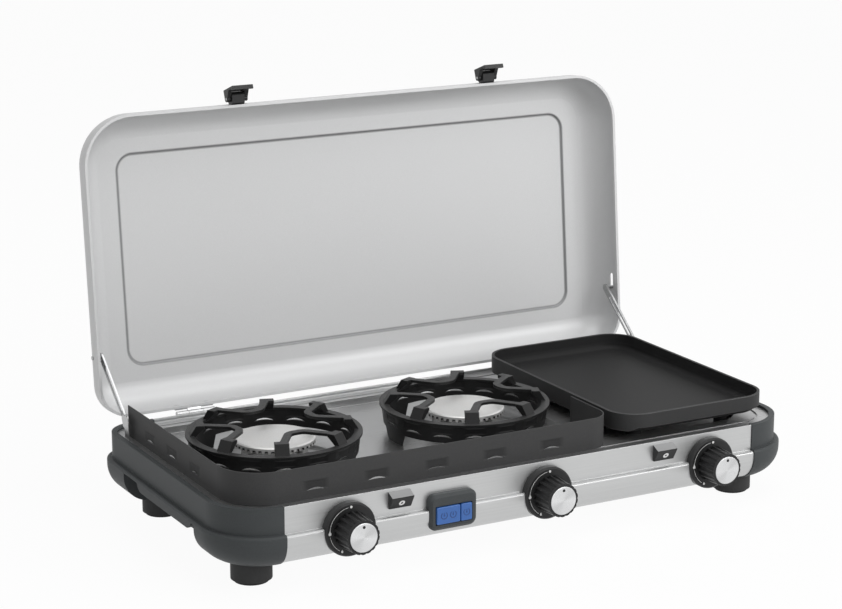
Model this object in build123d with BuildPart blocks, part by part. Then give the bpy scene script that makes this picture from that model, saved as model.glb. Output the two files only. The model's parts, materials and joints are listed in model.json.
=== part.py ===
"""Two-burner camping stove with a griddle plate and a hinged lid, standing open."""

import math
import os

from build123d import *

os.makedirs("parts", exist_ok=True)

# Driving dimensions, in millimetres and degrees.
# Body: depths count back from the fascia's face, heights from the body's top edge.
body_width = 689.0
body_depth = 340.0
body_height = 66.0
band_corner = 58.0
back_corner = 35.0
ridge_drop = 28.0
bulge = 6.0
bulge_round = 30.0
ridge_round = 3.0
cap_wall = 3.0
cap_proud = 1.0
sheet = 1.5
thin_sheet = 1.2
fascia_half = 285.0
seam = 0.2
clearance = 0.3
seat_gap = 0.1
running_fit = 0.05
foot_height = 25.0
foot_radius = 21.5
foot_pad_radius = 18.0
foot_pad_height = 3.0
foot_x = 298.0
foot_front = 52.0

# Grip pockets in the end caps.
grip_front = 75.0
grip_length = 188.0
grip_depth = 28.0
grip_panel_margin = 20.0
grip_panel_drop = 17.0
grip_panel_round = 14.0

# Hob tray.
tray_margin = 6.5
tray_drop = 3.0
rim_height = 3.0
seat_depth = 10.0
seat_thickness = 3.0
well_depth = 8.0
well_front = 36.0
well_back = 26.0
well_corner = 34.0
burner_well_left = 20.0
land_left = 106.5
land_right = 142.0
griddle_well_right = 33.0
dish_radius = 72.0
dish_depth = 3.0
groove_inset = 13.0
groove_width = 3.0
groove_depth = 1.5

# Burners and pan supports.
left_burner_x = -218.0
right_burner_x = 14.0
burner_forward = 5.0
burner_cap_radius = 44.0
burner_cap_top = 18.0
burner_cap_rim = 6.0
burner_head_radius = 37.0
burner_port_count = 40
burner_port = 2.6
support_radius = 94.0
support_top = 24.0
support_flange = 9.0
support_sheet = 2.2
support_wall = 22.0
support_taper = 4.0
support_turn = (4.5, 0.0)
louvre_count = 16
louvre_length = 22.0
louvre_height = 3.4
louvre_slit = 2.2
foot_window_count = 6
foot_window_width = 60.0
foot_window_top = 50.0
petal_count = 4
petal_rise = 11.0
petal_strip = 8.0
petal_sheet = 3.0
petal_tip = 41.0
petal_tip_half = 10.4
petal_tip_round = 16.0
petal_root_width = 15.0
petal_slope = 0.9
petal_half_angle = 26.0

# Griddle.
griddle_width = 197.5
griddle_end_margin = 20.5
griddle_front = 16.5
griddle_back_margin = 17.5
griddle_rim = 27.0
griddle_inside = 18.0
griddle_floor = 4.0
griddle_wall = 3.0
griddle_corner = 34.0
griddle_skirt = 15.5
griddle_lug = 4.0
griddle_lug_length = 12.5
griddle_lug_slope = 9.0
griddle_foot_radius = 8.0
griddle_foot_inset = 40.0
griddle_dish_round = 12.0
griddle_burner_radius = 6.0

# Windscreen.
screen_height = 34.5
screen_front = 17.0
screen_left = 16.5
screen_right = 113.0
screen_return = 100.0
screen_back_margin = 36.0
screen_left_round = 47.0
screen_right_round = 25.0
screen_louvre_length = 22.0
screen_louvre_height = 3.2
screen_louvre_drop = 26.0
screen_louvre_pitch = 69.5

# Lid, open angle measured from closed.
lid_width = 684.0
lid_length = 334.0
lid_depth = 42.0
lid_sheet = 1.2
lid_corner = 57.0
lid_hinge_corner = 34.0
lid_edge_round = 30.0
lid_hem = 2.0
lid_hem_height = 5.0
lid_open = 95.1
lid_gap = 0.5
panel_width = 582.0
panel_length = 240.0
panel_corner = 20.0
panel_rise = 1.8
hinge_behind = 5.6
hinge_drop = 1.1
hinge_x = 231.0
hinge_width = 46.0
hinge_knuckle = 3.0
hinge_pin_radius = 1.6
hinge_leaf = 1.5
hinge_leaf_drop = 16.0
hinge_segment = 14.0
rivet_radius = 1.8
rivet_head_radius = 3.2
rivet_head = 1.2
stay_hook_along = 73.5
stay_hook_deep = 15.5
stay_pin_inset = 35.0
stay_pin_z = 17.0
stay_width = 9.0
stay_depth = 2.4
stay_sheet = 1.0
stay_x = 330.4
stay_bracket_x = 333.1
stay_pin_radius = 2.0
stay_hook_radius = 2.2
stay_notch = 5.0
stay_slot_length = 20.0

# Controls.
knob_x = (-215.0, 18.5, 227.0)
knob_drop = 33.0
bezel_radius = 28.5
bezel_stand = 9.0
knob_radius = 20.0
knob_front_radius = 18.2
knob_length = 25.0
knob_gap = 1.5
knob_flutes = 18
knob_cap_radius = 15.2
knob_cap_height = 1.4
stem_radius = 3.5
igniter_left = -124.5
igniter_width = 55.5
igniter_drop = 13.5
igniter_height = 38.5
igniter_corner = 8.0
igniter_chamfer = 3.0
igniter_stand = 9.0
button_left = -117.5
button_split = -89.5
button_right = -76.0
button_top = 26.5
button_height = 18.5
button_gap = 0.9
button_travel = 3.5
button_stand = 1.5

# Latches.
latch_x = (-156.0, 167.0)
catch_width = 25.0
catch_stand = 9.7
catch_top = 3.5
catch_brow = 8.1
catch_bottom = 21.4
catch_toe = 2.5
latch_width = 25.0
latch_base_width = 15.0
latch_pivot_out = 6.4
latch_pivot_up = 8.0
latch_relaxed = 15.0
latch_sheet = 2.7
latch_pin_radius = 1.5

# Gas train, all below the tray.
valve_y = 7.0
valve_length = 32.0
manifold_y = 22.0
manifold_drop = 51.0
manifold_radius = 5.0
mixer_radius = 9.0
mixer_y = 62.0
inlet_x = 262.0
inlet_radius = 5.0
nozzle_length = 24.0
nozzle_back = 14.0

# Derived places.
top_z = foot_height + body_height
lid_lean = math.radians(lid_open - 90.0)
plan_mid = body_depth / 2 - cap_proud
body_back = body_depth - 2 * cap_proud
hinge_y = body_back + hinge_behind
burner_y = plan_mid - burner_forward
screen_back = body_back - screen_back_margin
stay_pin_y = body_back - stay_pin_inset
griddle_length = body_back - griddle_front - griddle_back_margin
lid_back_reach = hinge_y + (hinge_behind + lid_length) * math.sin(lid_lean) + lid_depth * math.cos(lid_lean)
knob_front_reach = bezel_stand + knob_gap + knob_length + knob_cap_height
front_y = -(lid_back_reach - knob_front_reach) / 2
half_width = body_width / 2
griddle_left = half_width - griddle_end_margin - griddle_width
tray_z = -tray_drop
floor_z = tray_z - well_depth
tray_width = body_width - 2 * tray_margin
tray_depth = body_depth - 2 * tray_margin + 2 * cap_proud
tray_corner = band_corner - tray_margin
tray_back_corner = back_corner - tray_margin
groove_end = groove_inset + groove_width
bottom_z = -body_height

deck = Plane(origin=(0, front_y, top_z))
face = Plane(origin=(0, front_y, top_z), x_dir=(1, 0, 0), z_dir=(0, -1, 0))
lid_plane = Plane(
    origin=(0, front_y + hinge_y, top_z - hinge_drop),
    x_dir=(1, 0, 0),
    z_dir=(0, -math.cos(lid_lean), math.sin(lid_lean)),
)


def side(x):
    return Plane(origin=(x, front_y, top_z), x_dir=(0, 1, 0), z_dir=(1, 0, 0))


def lid_side(x):
    return Plane(
        origin=(x, front_y + hinge_y, top_z - hinge_drop),
        x_dir=(0, math.sin(lid_lean), math.cos(lid_lean)),
        z_dir=(1, 0, 0),
    )


def save(piece, name):
    piece.label = name
    export_step(piece, f"parts/{name}.step")


# A rectangle with its own corner rounding at its low and at its high end.
def rounded_plan(width, length, low_round, high_round):
    with BuildSketch() as outline:
        Rectangle(width, length)
        fillet(outline.vertices().group_by(Axis.Y)[0], low_round)
        fillet(outline.vertices().group_by(Axis.Y)[-1], high_round)
    return outline.sketch


def body_plan(inset):
    return rounded_plan(
        body_width - 2 * inset, body_depth - 2 * inset, band_corner - inset, back_corner - inset
    )


# The body's outer form, moved in by an inset: a straight band over a bulged lower part.
def body_form(inset, rise):
    with BuildPart() as form:
        with BuildSketch(deck.offset(bottom_z + inset)):
            with Locations((0, plan_mid)):
                add(body_plan(inset - bulge))
        extrude(amount=body_height - ridge_drop - 2 * inset)
        fillet(form.faces().sort_by(Axis.Z)[0].edges(), bulge_round - inset)
        fillet(form.faces().sort_by(Axis.Z)[-1].edges(), ridge_round)
        with BuildSketch(deck.offset(-ridge_drop - 2 * inset - ridge_round)):
            with Locations((0, plan_mid)):
                add(body_plan(inset))
        extrude(amount=ridge_drop + 2 * inset + ridge_round + rise)
    return form.part


# A flat ring between the body's band and a smaller rounded plan, lying below a level.
def band_ring(level, thickness, inner_margin, outer_inset):
    with BuildPart() as ring:
        with BuildSketch(deck.offset(level - thickness)):
            with Locations((0, plan_mid)):
                add(body_plan(outer_inset))
                add(body_plan(inner_margin), mode=Mode.SUBTRACT)
        extrude(amount=thickness)
    return ring.part


# End caps
rim_rise = 1.0
cap_outside = body_form(0.0, 0.0)
cap_inside = body_form(cap_wall, rim_rise)
cap_rim = band_ring(0.0, rim_height - clearance, tray_margin - clearance, cap_wall / 2)
cap_seat = band_ring(tray_z - thin_sheet, seat_thickness, tray_margin + seat_depth, cap_wall / 2)
pocket_in = half_width - grip_depth
pocket_out = half_width + bulge + clearance

with BuildPart() as grip_liner:
    with BuildSketch(deck.offset(-ridge_drop)):
        with Locations((-(pocket_in + pocket_out) / 2, grip_front + grip_length / 2)):
            Rectangle(pocket_out - pocket_in + 2 * cap_wall, grip_length + 2 * cap_wall)
    extrude(amount=-(body_height - ridge_drop))
    with BuildSketch(deck.offset(-ridge_drop - cap_wall)):
        with Locations((-(pocket_in + pocket_out) / 2, grip_front + grip_length / 2)):
            Rectangle(pocket_out - pocket_in, grip_length)
    extrude(amount=-body_height, mode=Mode.SUBTRACT)
    add(cap_outside, mode=Mode.INTERSECT)

with BuildPart() as left_cap:
    add(cap_outside)
    add(cap_inside, mode=Mode.SUBTRACT)
    add(cap_rim)
    add(cap_seat)
    split(bisect_by=Plane.YZ.offset(-fascia_half), keep=Keep.BOTTOM)
    with BuildSketch(deck.offset(-ridge_drop)):
        with Locations((-(pocket_in + pocket_out) / 2, grip_front + grip_length / 2)):
            Rectangle(pocket_out - pocket_in, grip_length)
    extrude(amount=-body_height, mode=Mode.SUBTRACT)
    add(grip_liner.part)
    with BuildSketch(side(-half_width)) as grip_panel:
        with Locations((grip_front + grip_length / 2, -ridge_drop - grip_panel_drop / 2)):
            Rectangle(grip_length - 2 * grip_panel_margin, grip_panel_drop)
        fillet(grip_panel.vertices().group_by(Axis.Y)[0], grip_panel_round)
    extrude(amount=cap_wall)
save(left_cap.part, "left_end_cap")

with BuildPart() as right_cap:
    mirror(left_cap.part, about=Plane.YZ)
save(right_cap.part, "right_end_cap")

# Fascia and rear panel: bent sheet between the end caps
sheet_depth = 40.0
skin_outside = body_form(cap_proud, 0.0)
skin_inside = body_form(cap_proud + sheet, rim_rise)
skin_seat = band_ring(tray_z - thin_sheet, sheet, tray_margin + seat_depth, cap_proud + sheet / 2)

with BuildPart() as body_skin:
    add(skin_outside)
    add(skin_inside, mode=Mode.SUBTRACT)
    add(skin_seat)
    split(bisect_by=Plane.YZ.offset(-fascia_half + seam), keep=Keep.TOP)
    split(bisect_by=Plane.YZ.offset(fascia_half - seam), keep=Keep.BOTTOM)

sleeve_wall = 1.5
stem_space = 2.0
igniter_mid_x = igniter_left + igniter_width / 2
button_mid_x = (button_left + button_right) / 2
button_span = button_right - button_left
sleeve_space = button_gap + sleeve_wall + clearance
button_mid_z = -button_top - button_height / 2
front_cut = Plane.XZ.offset(-(front_y + sheet_depth))
back_cut = Plane.XZ.offset(-(front_y + body_back - sheet_depth))

with BuildPart() as fascia:
    add(body_skin.part)
    split(bisect_by=front_cut, keep=Keep.TOP)
    with BuildSketch(face):
        with Locations(*[(x, -knob_drop) for x in knob_x]):
            Circle(stem_radius + stem_space)
        with Locations((button_mid_x, button_mid_z)):
            Rectangle(button_span + 2 * sleeve_space, button_height + 2 * sleeve_space)
    extrude(amount=2 * bulge, both=True, mode=Mode.SUBTRACT)
save(fascia.part, "front_fascia")

inlet_z = -manifold_drop
nozzle_hex = inlet_radius + 3.0
nozzle_space = 1.0
screw_radius = 1.6
screw_head_radius = 3.0
screw_head = 1.4
screw_drop = 11.0
screw_spread = 16.0
screw_places = [(sign * hinge_x + n * screw_spread, -screw_drop) for sign in (-1, 1) for n in (-1, 0, 1)]
with BuildPart() as rear_panel:
    add(body_skin.part)
    split(bisect_by=back_cut, keep=Keep.BOTTOM)
    with BuildSketch(face.offset(-body_back)):
        with Locations((inlet_x, inlet_z)):
            Circle(nozzle_hex + nozzle_space)
        with Locations(*screw_places):
            Circle(screw_radius)
    extrude(amount=3 * bulge, both=True, mode=Mode.SUBTRACT)
save(rear_panel.part, "rear_panel")

# Base pan with vent slots
pan_front = sheet_depth + seam
pan_back = body_back - sheet_depth - seam
vent_columns = 6
vent_rows = 3
vent_pitch = 2 * fascia_half / (vent_columns + 1)
vent_row_pitch = (pan_back - pan_front) / (vent_rows + 1)
vent_length = 46.0
vent_width = 5.0
with BuildPart() as base_pan:
    with BuildSketch(deck.offset(bottom_z + cap_proud)):
        with Locations((0, (pan_front + pan_back) / 2)):
            Rectangle(2 * (fascia_half - seam), pan_back - pan_front)
            with GridLocations(vent_pitch, vent_row_pitch, vent_columns, vent_rows):
                SlotOverall(vent_length, vent_width, mode=Mode.SUBTRACT)
    extrude(amount=sheet)
save(base_pan.part, "base_pan")

# Feet
foot_back = 2 * plan_mid - foot_front
foot_places = [(x, y) for x in (-foot_x, foot_x) for y in (foot_front, foot_back)]
with BuildPart() as feet:
    with BuildSketch(deck.offset(bottom_z)):
        with Locations(*foot_places):
            Circle(foot_radius)
    extrude(amount=-(foot_height - foot_pad_height))
    with BuildSketch(deck.offset(-top_z)):
        with Locations(*foot_places):
            Circle(foot_pad_radius)
    extrude(amount=foot_pad_height)
save(feet.part, "feet")

# Hob tray: ledge, groove, two pressed wells and a dish round each burner
well_length = 2 * plan_mid - well_front - well_back
well_mid_y = well_front + well_length / 2
burner_well = (-half_width + tray_margin + burner_well_left, land_left)
griddle_well = (land_right, half_width - tray_margin - griddle_well_right)
burner_places = [(left_burner_x, burner_y), (right_burner_x, burner_y)]
griddle_mid_x = griddle_left + griddle_width / 2
griddle_mid_y = griddle_front + griddle_length / 2
electrode_reach = burner_cap_radius + 8.0
electrode_radius = 2.6
electrode_turn = math.radians(60.0)
electrode_out = electrode_reach * math.cos(electrode_turn)
electrode_behind = electrode_reach * math.sin(electrode_turn)
electrode_places = [(x + electrode_out, y + electrode_behind) for x, y in burner_places]
griddle_spark_out = 22.0
griddle_spark_behind = 40.0
griddle_electrode = (griddle_mid_x + griddle_spark_out, griddle_mid_y + griddle_spark_behind)
chamber_radius = mixer_radius + 7.0
chamber_space = 1.0
mixer_z = -knob_drop
tube_lift = 1.0
tube_z = floor_z + griddle_burner_radius + tube_lift
mixer_length = 45.0
riser_start = mixer_y + mixer_length
riser_length = 55.0
riser_slot = 44.0
riser_space = 2.0
riser_share = (floor_z - thin_sheet / 2 - mixer_z) / (tube_z - mixer_z)
riser_y = riser_start + riser_share * riser_length


def tray_plan(inset):
    return rounded_plan(
        tray_width - 2 * inset, tray_depth - 2 * inset, tray_corner - inset, tray_back_corner - inset
    )


with BuildPart() as tray:
    with BuildSketch(deck.offset(tray_z - thin_sheet)):
        with Locations((0, plan_mid)):
            add(tray_plan(0.0))
    extrude(amount=thin_sheet)
    for groove_wall, groove_mode in ((thin_sheet, Mode.ADD), (0.0, Mode.SUBTRACT)):
        with BuildSketch(deck.offset(tray_z - groove_depth - groove_wall)):
            with Locations((0, plan_mid)):
                add(tray_plan(groove_inset - groove_wall))
                add(tray_plan(groove_end + groove_wall), mode=Mode.SUBTRACT)
        extrude(amount=groove_depth, mode=groove_mode)
    for low, high in (burner_well, griddle_well):
        with BuildSketch(deck.offset(floor_z - thin_sheet)):
            with Locations(((low + high) / 2, well_mid_y)):
                RectangleRounded(high - low, well_length, well_corner)
        extrude(amount=well_depth)
        with BuildSketch(deck.offset(floor_z)):
            with Locations(((low + high) / 2, well_mid_y)):
                RectangleRounded(
                    high - low - 2 * thin_sheet, well_length - 2 * thin_sheet, well_corner - thin_sheet
                )
        extrude(amount=well_depth + thin_sheet, mode=Mode.SUBTRACT)
    with BuildSketch(deck.offset(floor_z - dish_depth - thin_sheet)):
        with Locations(*burner_places):
            Circle(dish_radius)
    extrude(amount=dish_depth)
    with BuildSketch(deck.offset(floor_z - dish_depth)):
        with Locations(*burner_places):
            Circle(dish_radius - thin_sheet)
    extrude(amount=dish_depth + thin_sheet, mode=Mode.SUBTRACT)
    with BuildSketch(deck.offset(floor_z)):
        with Locations(*burner_places):
            Circle(chamber_radius + chamber_space)
        with Locations(*electrode_places, griddle_electrode):
            Circle(electrode_radius + running_fit)
        with Locations((griddle_mid_x, riser_y)):
            SlotOverall(
                2 * griddle_burner_radius + riser_slot,
                2 * (griddle_burner_radius + riser_space),
                rotation=90,
            )
    extrude(amount=-2 * well_depth, mode=Mode.SUBTRACT)
save(tray.part, "hob_tray")

# Windscreen: one sheet bent round the burners, with crescent louvres
screen_x = -half_width + screen_left
screen_top = tray_z + screen_height
louvre_z = screen_top - screen_louvre_drop
front_louvres = 5
side_louvres = 3
side_louvre_first = 120.0
side_louvre_pitch = 60.0
front_louvre_first = -242.0


def crescent(length, height):
    with BuildSketch() as shape:
        with BuildLine():
            ThreePointArc((-length / 2, 0), (0, height), (length / 2, 0))
            ThreePointArc((length / 2, 0), (0, height - louvre_slit), (-length / 2, 0))
        make_face()
    return shape.sketch


screen_crescent = crescent(screen_louvre_length, screen_louvre_height)
with BuildPart() as screen:
    with BuildSketch(deck.offset(tray_z)):
        with BuildLine():
            FilletPolyline(
                (screen_x, screen_back),
                (screen_x, screen_front),
                (screen_right, screen_front),
                (screen_right, screen_return),
                radius=[screen_left_round, screen_right_round],
            )
            offset(amount=thin_sheet, side=Side.LEFT)
        make_face()
    extrude(amount=screen_height)
    with BuildSketch(face.offset(-screen_front)):
        for n in range(front_louvres):
            with Locations((front_louvre_first + n * screen_louvre_pitch, louvre_z)):
                add(screen_crescent)
    extrude(amount=4 * thin_sheet, both=True, mode=Mode.SUBTRACT)
    with BuildSketch(side(screen_x)):
        for n in range(side_louvres):
            with Locations((side_louvre_first + n * side_louvre_pitch, louvre_z)):
                add(screen_crescent)
    extrude(amount=4 * thin_sheet, both=True, mode=Mode.SUBTRACT)
save(screen.part, "windscreen")

# Pan supports: pressed ring with louvres and leg tabs, and raised petals to carry the pan
flange_lip = 2.0
wall_top_radius = support_radius - flange_lip
wall_foot_radius = wall_top_radius - support_taper
support_foot = floor_z + seat_gap
support_height = support_top - floor_z
leg_height = support_height - support_wall
louvre_rise = 6.0
louvre_level = floor_z + leg_height + louvre_rise
window_turn = 30.0
petal_lap = 5.6
petal_foot = 4.2
petal_plate_turn = 2.0
ring_crescent = crescent(louvre_length, louvre_height)


def pan_support(x, y, swing):
    spot = Plane(origin=(x, front_y + y, top_z))
    with BuildPart() as support:
        with BuildSketch(Plane(origin=spot.origin, x_dir=(1, 0, 0), z_dir=(0, -1, 0))):
            with BuildLine():
                Polyline(
                    (wall_foot_radius, support_foot),
                    (wall_top_radius, support_top - support_sheet),
                    (support_radius, support_top - support_sheet),
                    (support_radius, support_top),
                    (support_radius - support_flange, support_top),
                    (support_radius - support_flange, support_top - support_sheet),
                    (wall_top_radius - support_sheet, support_top - support_sheet),
                    (wall_foot_radius - support_sheet, support_foot),
                    close=True,
                )
            make_face()
        revolve(axis=Axis((x, front_y + y, 0), (0, 0, 1)))
        for n in range(louvre_count):
            turn = math.radians(swing + n * 360.0 / louvre_count)
            with BuildSketch(Plane(origin=spot.origin, x_dir=(-math.sin(turn), math.cos(turn), 0),
                                   z_dir=(math.cos(turn), math.sin(turn), 0))):
                with Locations((0, louvre_level)):
                    add(ring_crescent)
            extrude(amount=support_radius, mode=Mode.SUBTRACT)
        for n in range(foot_window_count):
            turn = math.radians(swing + window_turn + n * 360.0 / foot_window_count)
            with BuildSketch(Plane(origin=spot.origin, x_dir=(-math.sin(turn), math.cos(turn), 0),
                                   z_dir=(math.cos(turn), math.sin(turn), 0))):
                with BuildLine():
                    Polyline(
                        (-foot_window_width / 2, floor_z),
                        (foot_window_width / 2, floor_z),
                        (foot_window_top / 2, floor_z + leg_height),
                        (-foot_window_top / 2, floor_z + leg_height),
                        close=True,
                    )
                make_face()
            extrude(amount=support_radius, mode=Mode.SUBTRACT)
        petal_top = support_top + petal_rise
        root = support_radius - support_flange / 2
        crown = root - petal_rise * petal_slope
        spread = math.radians(petal_half_angle)
        for n in range(petal_count):
            middle = swing + n * 360.0 / petal_count
            head = Plane(origin=(x, front_y + y, top_z + petal_top - petal_sheet)).rotated((0, 0, middle))
            with BuildSketch(head):
                with BuildLine():
                    FilletPolyline(
                        (crown * math.cos(spread), crown * math.sin(spread)),
                        (petal_tip, petal_tip_half),
                        (petal_tip, -petal_tip_half),
                        (crown * math.cos(spread), -crown * math.sin(spread)),
                        radius=petal_tip_round,
                    )
                    offset(amount=petal_strip, side=Side.LEFT)
                make_face()
            extrude(amount=petal_sheet)
            for sign in (-1, 1):
                turn = math.radians(middle + sign * (petal_half_angle - petal_plate_turn))
                across = Plane(
                    origin=spot.origin,
                    x_dir=(math.cos(turn), math.sin(turn), 0),
                    z_dir=(math.sin(turn), -math.cos(turn), 0),
                )
                with BuildSketch(across):
                    with BuildLine():
                        Polyline(
                            (root, support_top - support_sheet),
                            (root, support_top),
                            (crown + petal_sheet, petal_top),
                            (crown - petal_lap, petal_top),
                            (crown - petal_lap, petal_top - petal_sheet),
                            (root - petal_foot, support_top - support_sheet),
                            close=True,
                        )
                    make_face()
                extrude(amount=petal_root_width / 2, both=True)
    return support.part


for name, (x, y), swing in zip(("left", "right"), burner_places, support_turn):
    save(pan_support(x, y, swing), f"{name}_pan_support")

# Griddle plate: cast tub with a deep rim, deeper along the left wall, on four feet
tub_bottom = griddle_rim - griddle_inside - griddle_floor
skirt_bottom = griddle_rim - griddle_skirt
lug_bottom = skirt_bottom - griddle_lug
lug_end = griddle_left + griddle_lug_length
griddle_right = griddle_left + griddle_width
griddle_seat = floor_z + seat_gap
griddle_spot = (griddle_mid_x, griddle_mid_y)
with BuildPart() as griddle:
    with BuildSketch(deck.offset(lug_bottom)):
        with Locations(griddle_spot):
            RectangleRounded(griddle_width, griddle_length, griddle_corner)
            RectangleRounded(
                griddle_width - 2 * griddle_wall,
                griddle_length - 2 * griddle_wall,
                griddle_corner - griddle_wall,
                mode=Mode.SUBTRACT,
            )
    extrude(amount=griddle_rim - lug_bottom)
    with BuildSketch(face.offset(-griddle_mid_y)):
        with BuildLine():
            Polyline(
                (lug_end, lug_bottom),
                (lug_end + griddle_lug_slope, skirt_bottom),
                (griddle_right, skirt_bottom),
                (griddle_right, lug_bottom),
                close=True,
            )
        make_face()
    extrude(amount=griddle_length, both=True, mode=Mode.SUBTRACT)
with BuildPart() as griddle_tub:
    with BuildSketch(deck.offset(tub_bottom)):
        with Locations(griddle_spot):
            RectangleRounded(
                griddle_width - griddle_wall,
                griddle_length - griddle_wall,
                griddle_corner - griddle_wall / 2,
            )
    extrude(amount=griddle_rim - tub_bottom)
    fillet(griddle_tub.faces().sort_by(Axis.Z)[0].edges(), griddle_dish_round)
with BuildPart() as griddle_hollow:
    with BuildSketch(deck.offset(griddle_rim - griddle_inside)):
        with Locations(griddle_spot):
            RectangleRounded(
                griddle_width - 2 * griddle_wall,
                griddle_length - 2 * griddle_wall,
                griddle_corner - griddle_wall,
            )
    extrude(amount=griddle_inside + rim_rise)
    fillet(griddle_hollow.faces().sort_by(Axis.Z)[0].edges(), griddle_dish_round - griddle_floor)
with BuildPart() as griddle_plate:
    add(griddle.part)
    add(griddle_tub.part)
    with BuildSketch(deck.offset(griddle_seat)):
        with Locations(griddle_spot):
            with GridLocations(
                griddle_width - 2 * griddle_foot_inset, griddle_length - 2 * griddle_foot_inset, 2, 2
            ):
                Circle(griddle_foot_radius)
    extrude(amount=tub_bottom + griddle_floor / 2 - griddle_seat)
    add(griddle_hollow.part, mode=Mode.SUBTRACT)
save(griddle_plate.part, "griddle_plate")

# Burners: cast body with a mixing tube, and a ported cap
dish_z = floor_z - dish_depth
cap_under = burner_cap_top - burner_cap_rim
air_windows = 8
air_width = 13.0
air_round = 3.0
air_low = dish_z + 7.0
air_high = cap_under - 3.0
mixer_wall = 2.0
mixer_lap = 4.0
chamber_wall = 3.0
chamber_low = mixer_z - mixer_radius - mixer_wall
flange_sheet = 2.5
flange_radius = burner_head_radius + 8.0
head_wall = 4.0
head_draft = 3.0
head_top_radius = burner_head_radius - head_draft
cap_recess = 2.0
cap_recess_radius = head_top_radius - head_wall - 1.0
cap_edge = 1.0
cap_crown = 1.2


def burner_base(x):
    axis = Axis((x, front_y + burner_y, 0), (0, 0, 1))
    with BuildPart() as base:
        with BuildSketch(Plane(origin=(x, front_y + burner_y, top_z), x_dir=(1, 0, 0), z_dir=(0, -1, 0))):
            with BuildLine():
                Polyline(
                    (0, chamber_low),
                    (chamber_radius, chamber_low),
                    (chamber_radius, dish_z),
                    (flange_radius, dish_z),
                    (flange_radius, dish_z + flange_sheet),
                    (burner_head_radius, dish_z + 2 * flange_sheet),
                    (head_top_radius, cap_under),
                    (head_top_radius - head_wall, cap_under),
                    (burner_head_radius - 2 * head_draft, dish_z + 2 * head_draft),
                    (chamber_radius - chamber_wall, dish_z + chamber_wall),
                    (chamber_radius - chamber_wall, mixer_z - mixer_radius),
                    (0, mixer_z - mixer_radius),
                    close=True,
                )
            make_face()
        revolve(axis=axis)
        with BuildSketch(face.offset(-mixer_y)):
            with Locations((x, mixer_z)):
                Circle(mixer_radius)
        extrude(amount=-(burner_y - mixer_y - chamber_radius + mixer_lap))
        with BuildSketch(face.offset(-mixer_y)):
            with Locations((x, mixer_z)):
                Circle(mixer_radius - mixer_wall)
        extrude(amount=-(burner_y - mixer_y), mode=Mode.SUBTRACT)
        for n in range(air_windows):
            turn = math.radians((n + 0.5) * 360.0 / air_windows)
            with BuildSketch(Plane(
                origin=(x, front_y + burner_y, top_z),
                x_dir=(-math.sin(turn), math.cos(turn), 0),
                z_dir=(math.cos(turn), math.sin(turn), 0),
            )):
                with Locations((0, (air_low + air_high) / 2)):
                    RectangleRounded(air_width, air_high - air_low, air_round)
            extrude(amount=flange_radius, mode=Mode.SUBTRACT)
    return base.part


def burner_cap(x):
    axis = Axis((x, front_y + burner_y, 0), (0, 0, 1))
    with BuildPart() as cap:
        with BuildSketch(Plane(origin=(x, front_y + burner_y, top_z), x_dir=(1, 0, 0), z_dir=(0, -1, 0))):
            with BuildLine():
                Polyline(
                    (0, cap_under + cap_recess),
                    (cap_recess_radius, cap_under + cap_recess),
                    (cap_recess_radius, cap_under),
                    (burner_cap_radius, cap_under),
                    (burner_cap_radius, burner_cap_top - cap_edge),
                    (burner_cap_radius - 2 * cap_edge, burner_cap_top),
                    (burner_cap_radius / 2, burner_cap_top + cap_crown),
                    (0, burner_cap_top + cap_crown),
                    close=True,
                )
            make_face()
        revolve(axis=axis)
        with BuildSketch(Plane(origin=(x, front_y + burner_y, top_z + cap_under))):
            with PolarLocations(burner_cap_radius - cap_edge, burner_port_count):
                Rectangle(2 * burner_port, burner_port)
        extrude(amount=burner_port, mode=Mode.SUBTRACT)
    return cap.part


for name, (x, y) in zip(("left", "right"), burner_places):
    save(burner_base(x), f"{name}_burner")
    save(burner_cap(x), f"{name}_burner_cap")

# Griddle burner: one tube rising through the tray, with a foot plate at its far end
tube_end_margin = 40.0
tube_end = griddle_front + griddle_length - tube_end_margin
tube_bend = 20.0
tube_wall = 1.4
tube_foot_width = 18.0
tube_foot_height = 16.0
tube_foot_round = 3.0
tube_foot_length = 12.0
with BuildPart() as griddle_burner:
    with BuildLine(side(griddle_mid_x)) as tube_path:
        FilletPolyline(
            (mixer_y, mixer_z),
            (riser_start, mixer_z),
            (riser_start + riser_length, tube_z),
            (tube_end, tube_z),
            radius=tube_bend,
        )
    with BuildSketch(face.offset(-mixer_y)):
        with Locations((griddle_mid_x, mixer_z)):
            Circle(griddle_burner_radius)
            Circle(griddle_burner_radius - tube_wall, mode=Mode.SUBTRACT)
    sweep(path=tube_path.line)
    with BuildSketch(face.offset(-tube_end)):
        with Locations((griddle_mid_x, floor_z + tube_foot_height / 2)):
            RectangleRounded(tube_foot_width, tube_foot_height, tube_foot_round)
    extrude(amount=-sheet)
    with BuildSketch(deck.offset(floor_z)):
        with Locations((griddle_mid_x, tube_end + tube_foot_length / 2)):
            Rectangle(tube_foot_width, tube_foot_length)
    extrude(amount=sheet)
save(griddle_burner.part, "griddle_burner")

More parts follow.
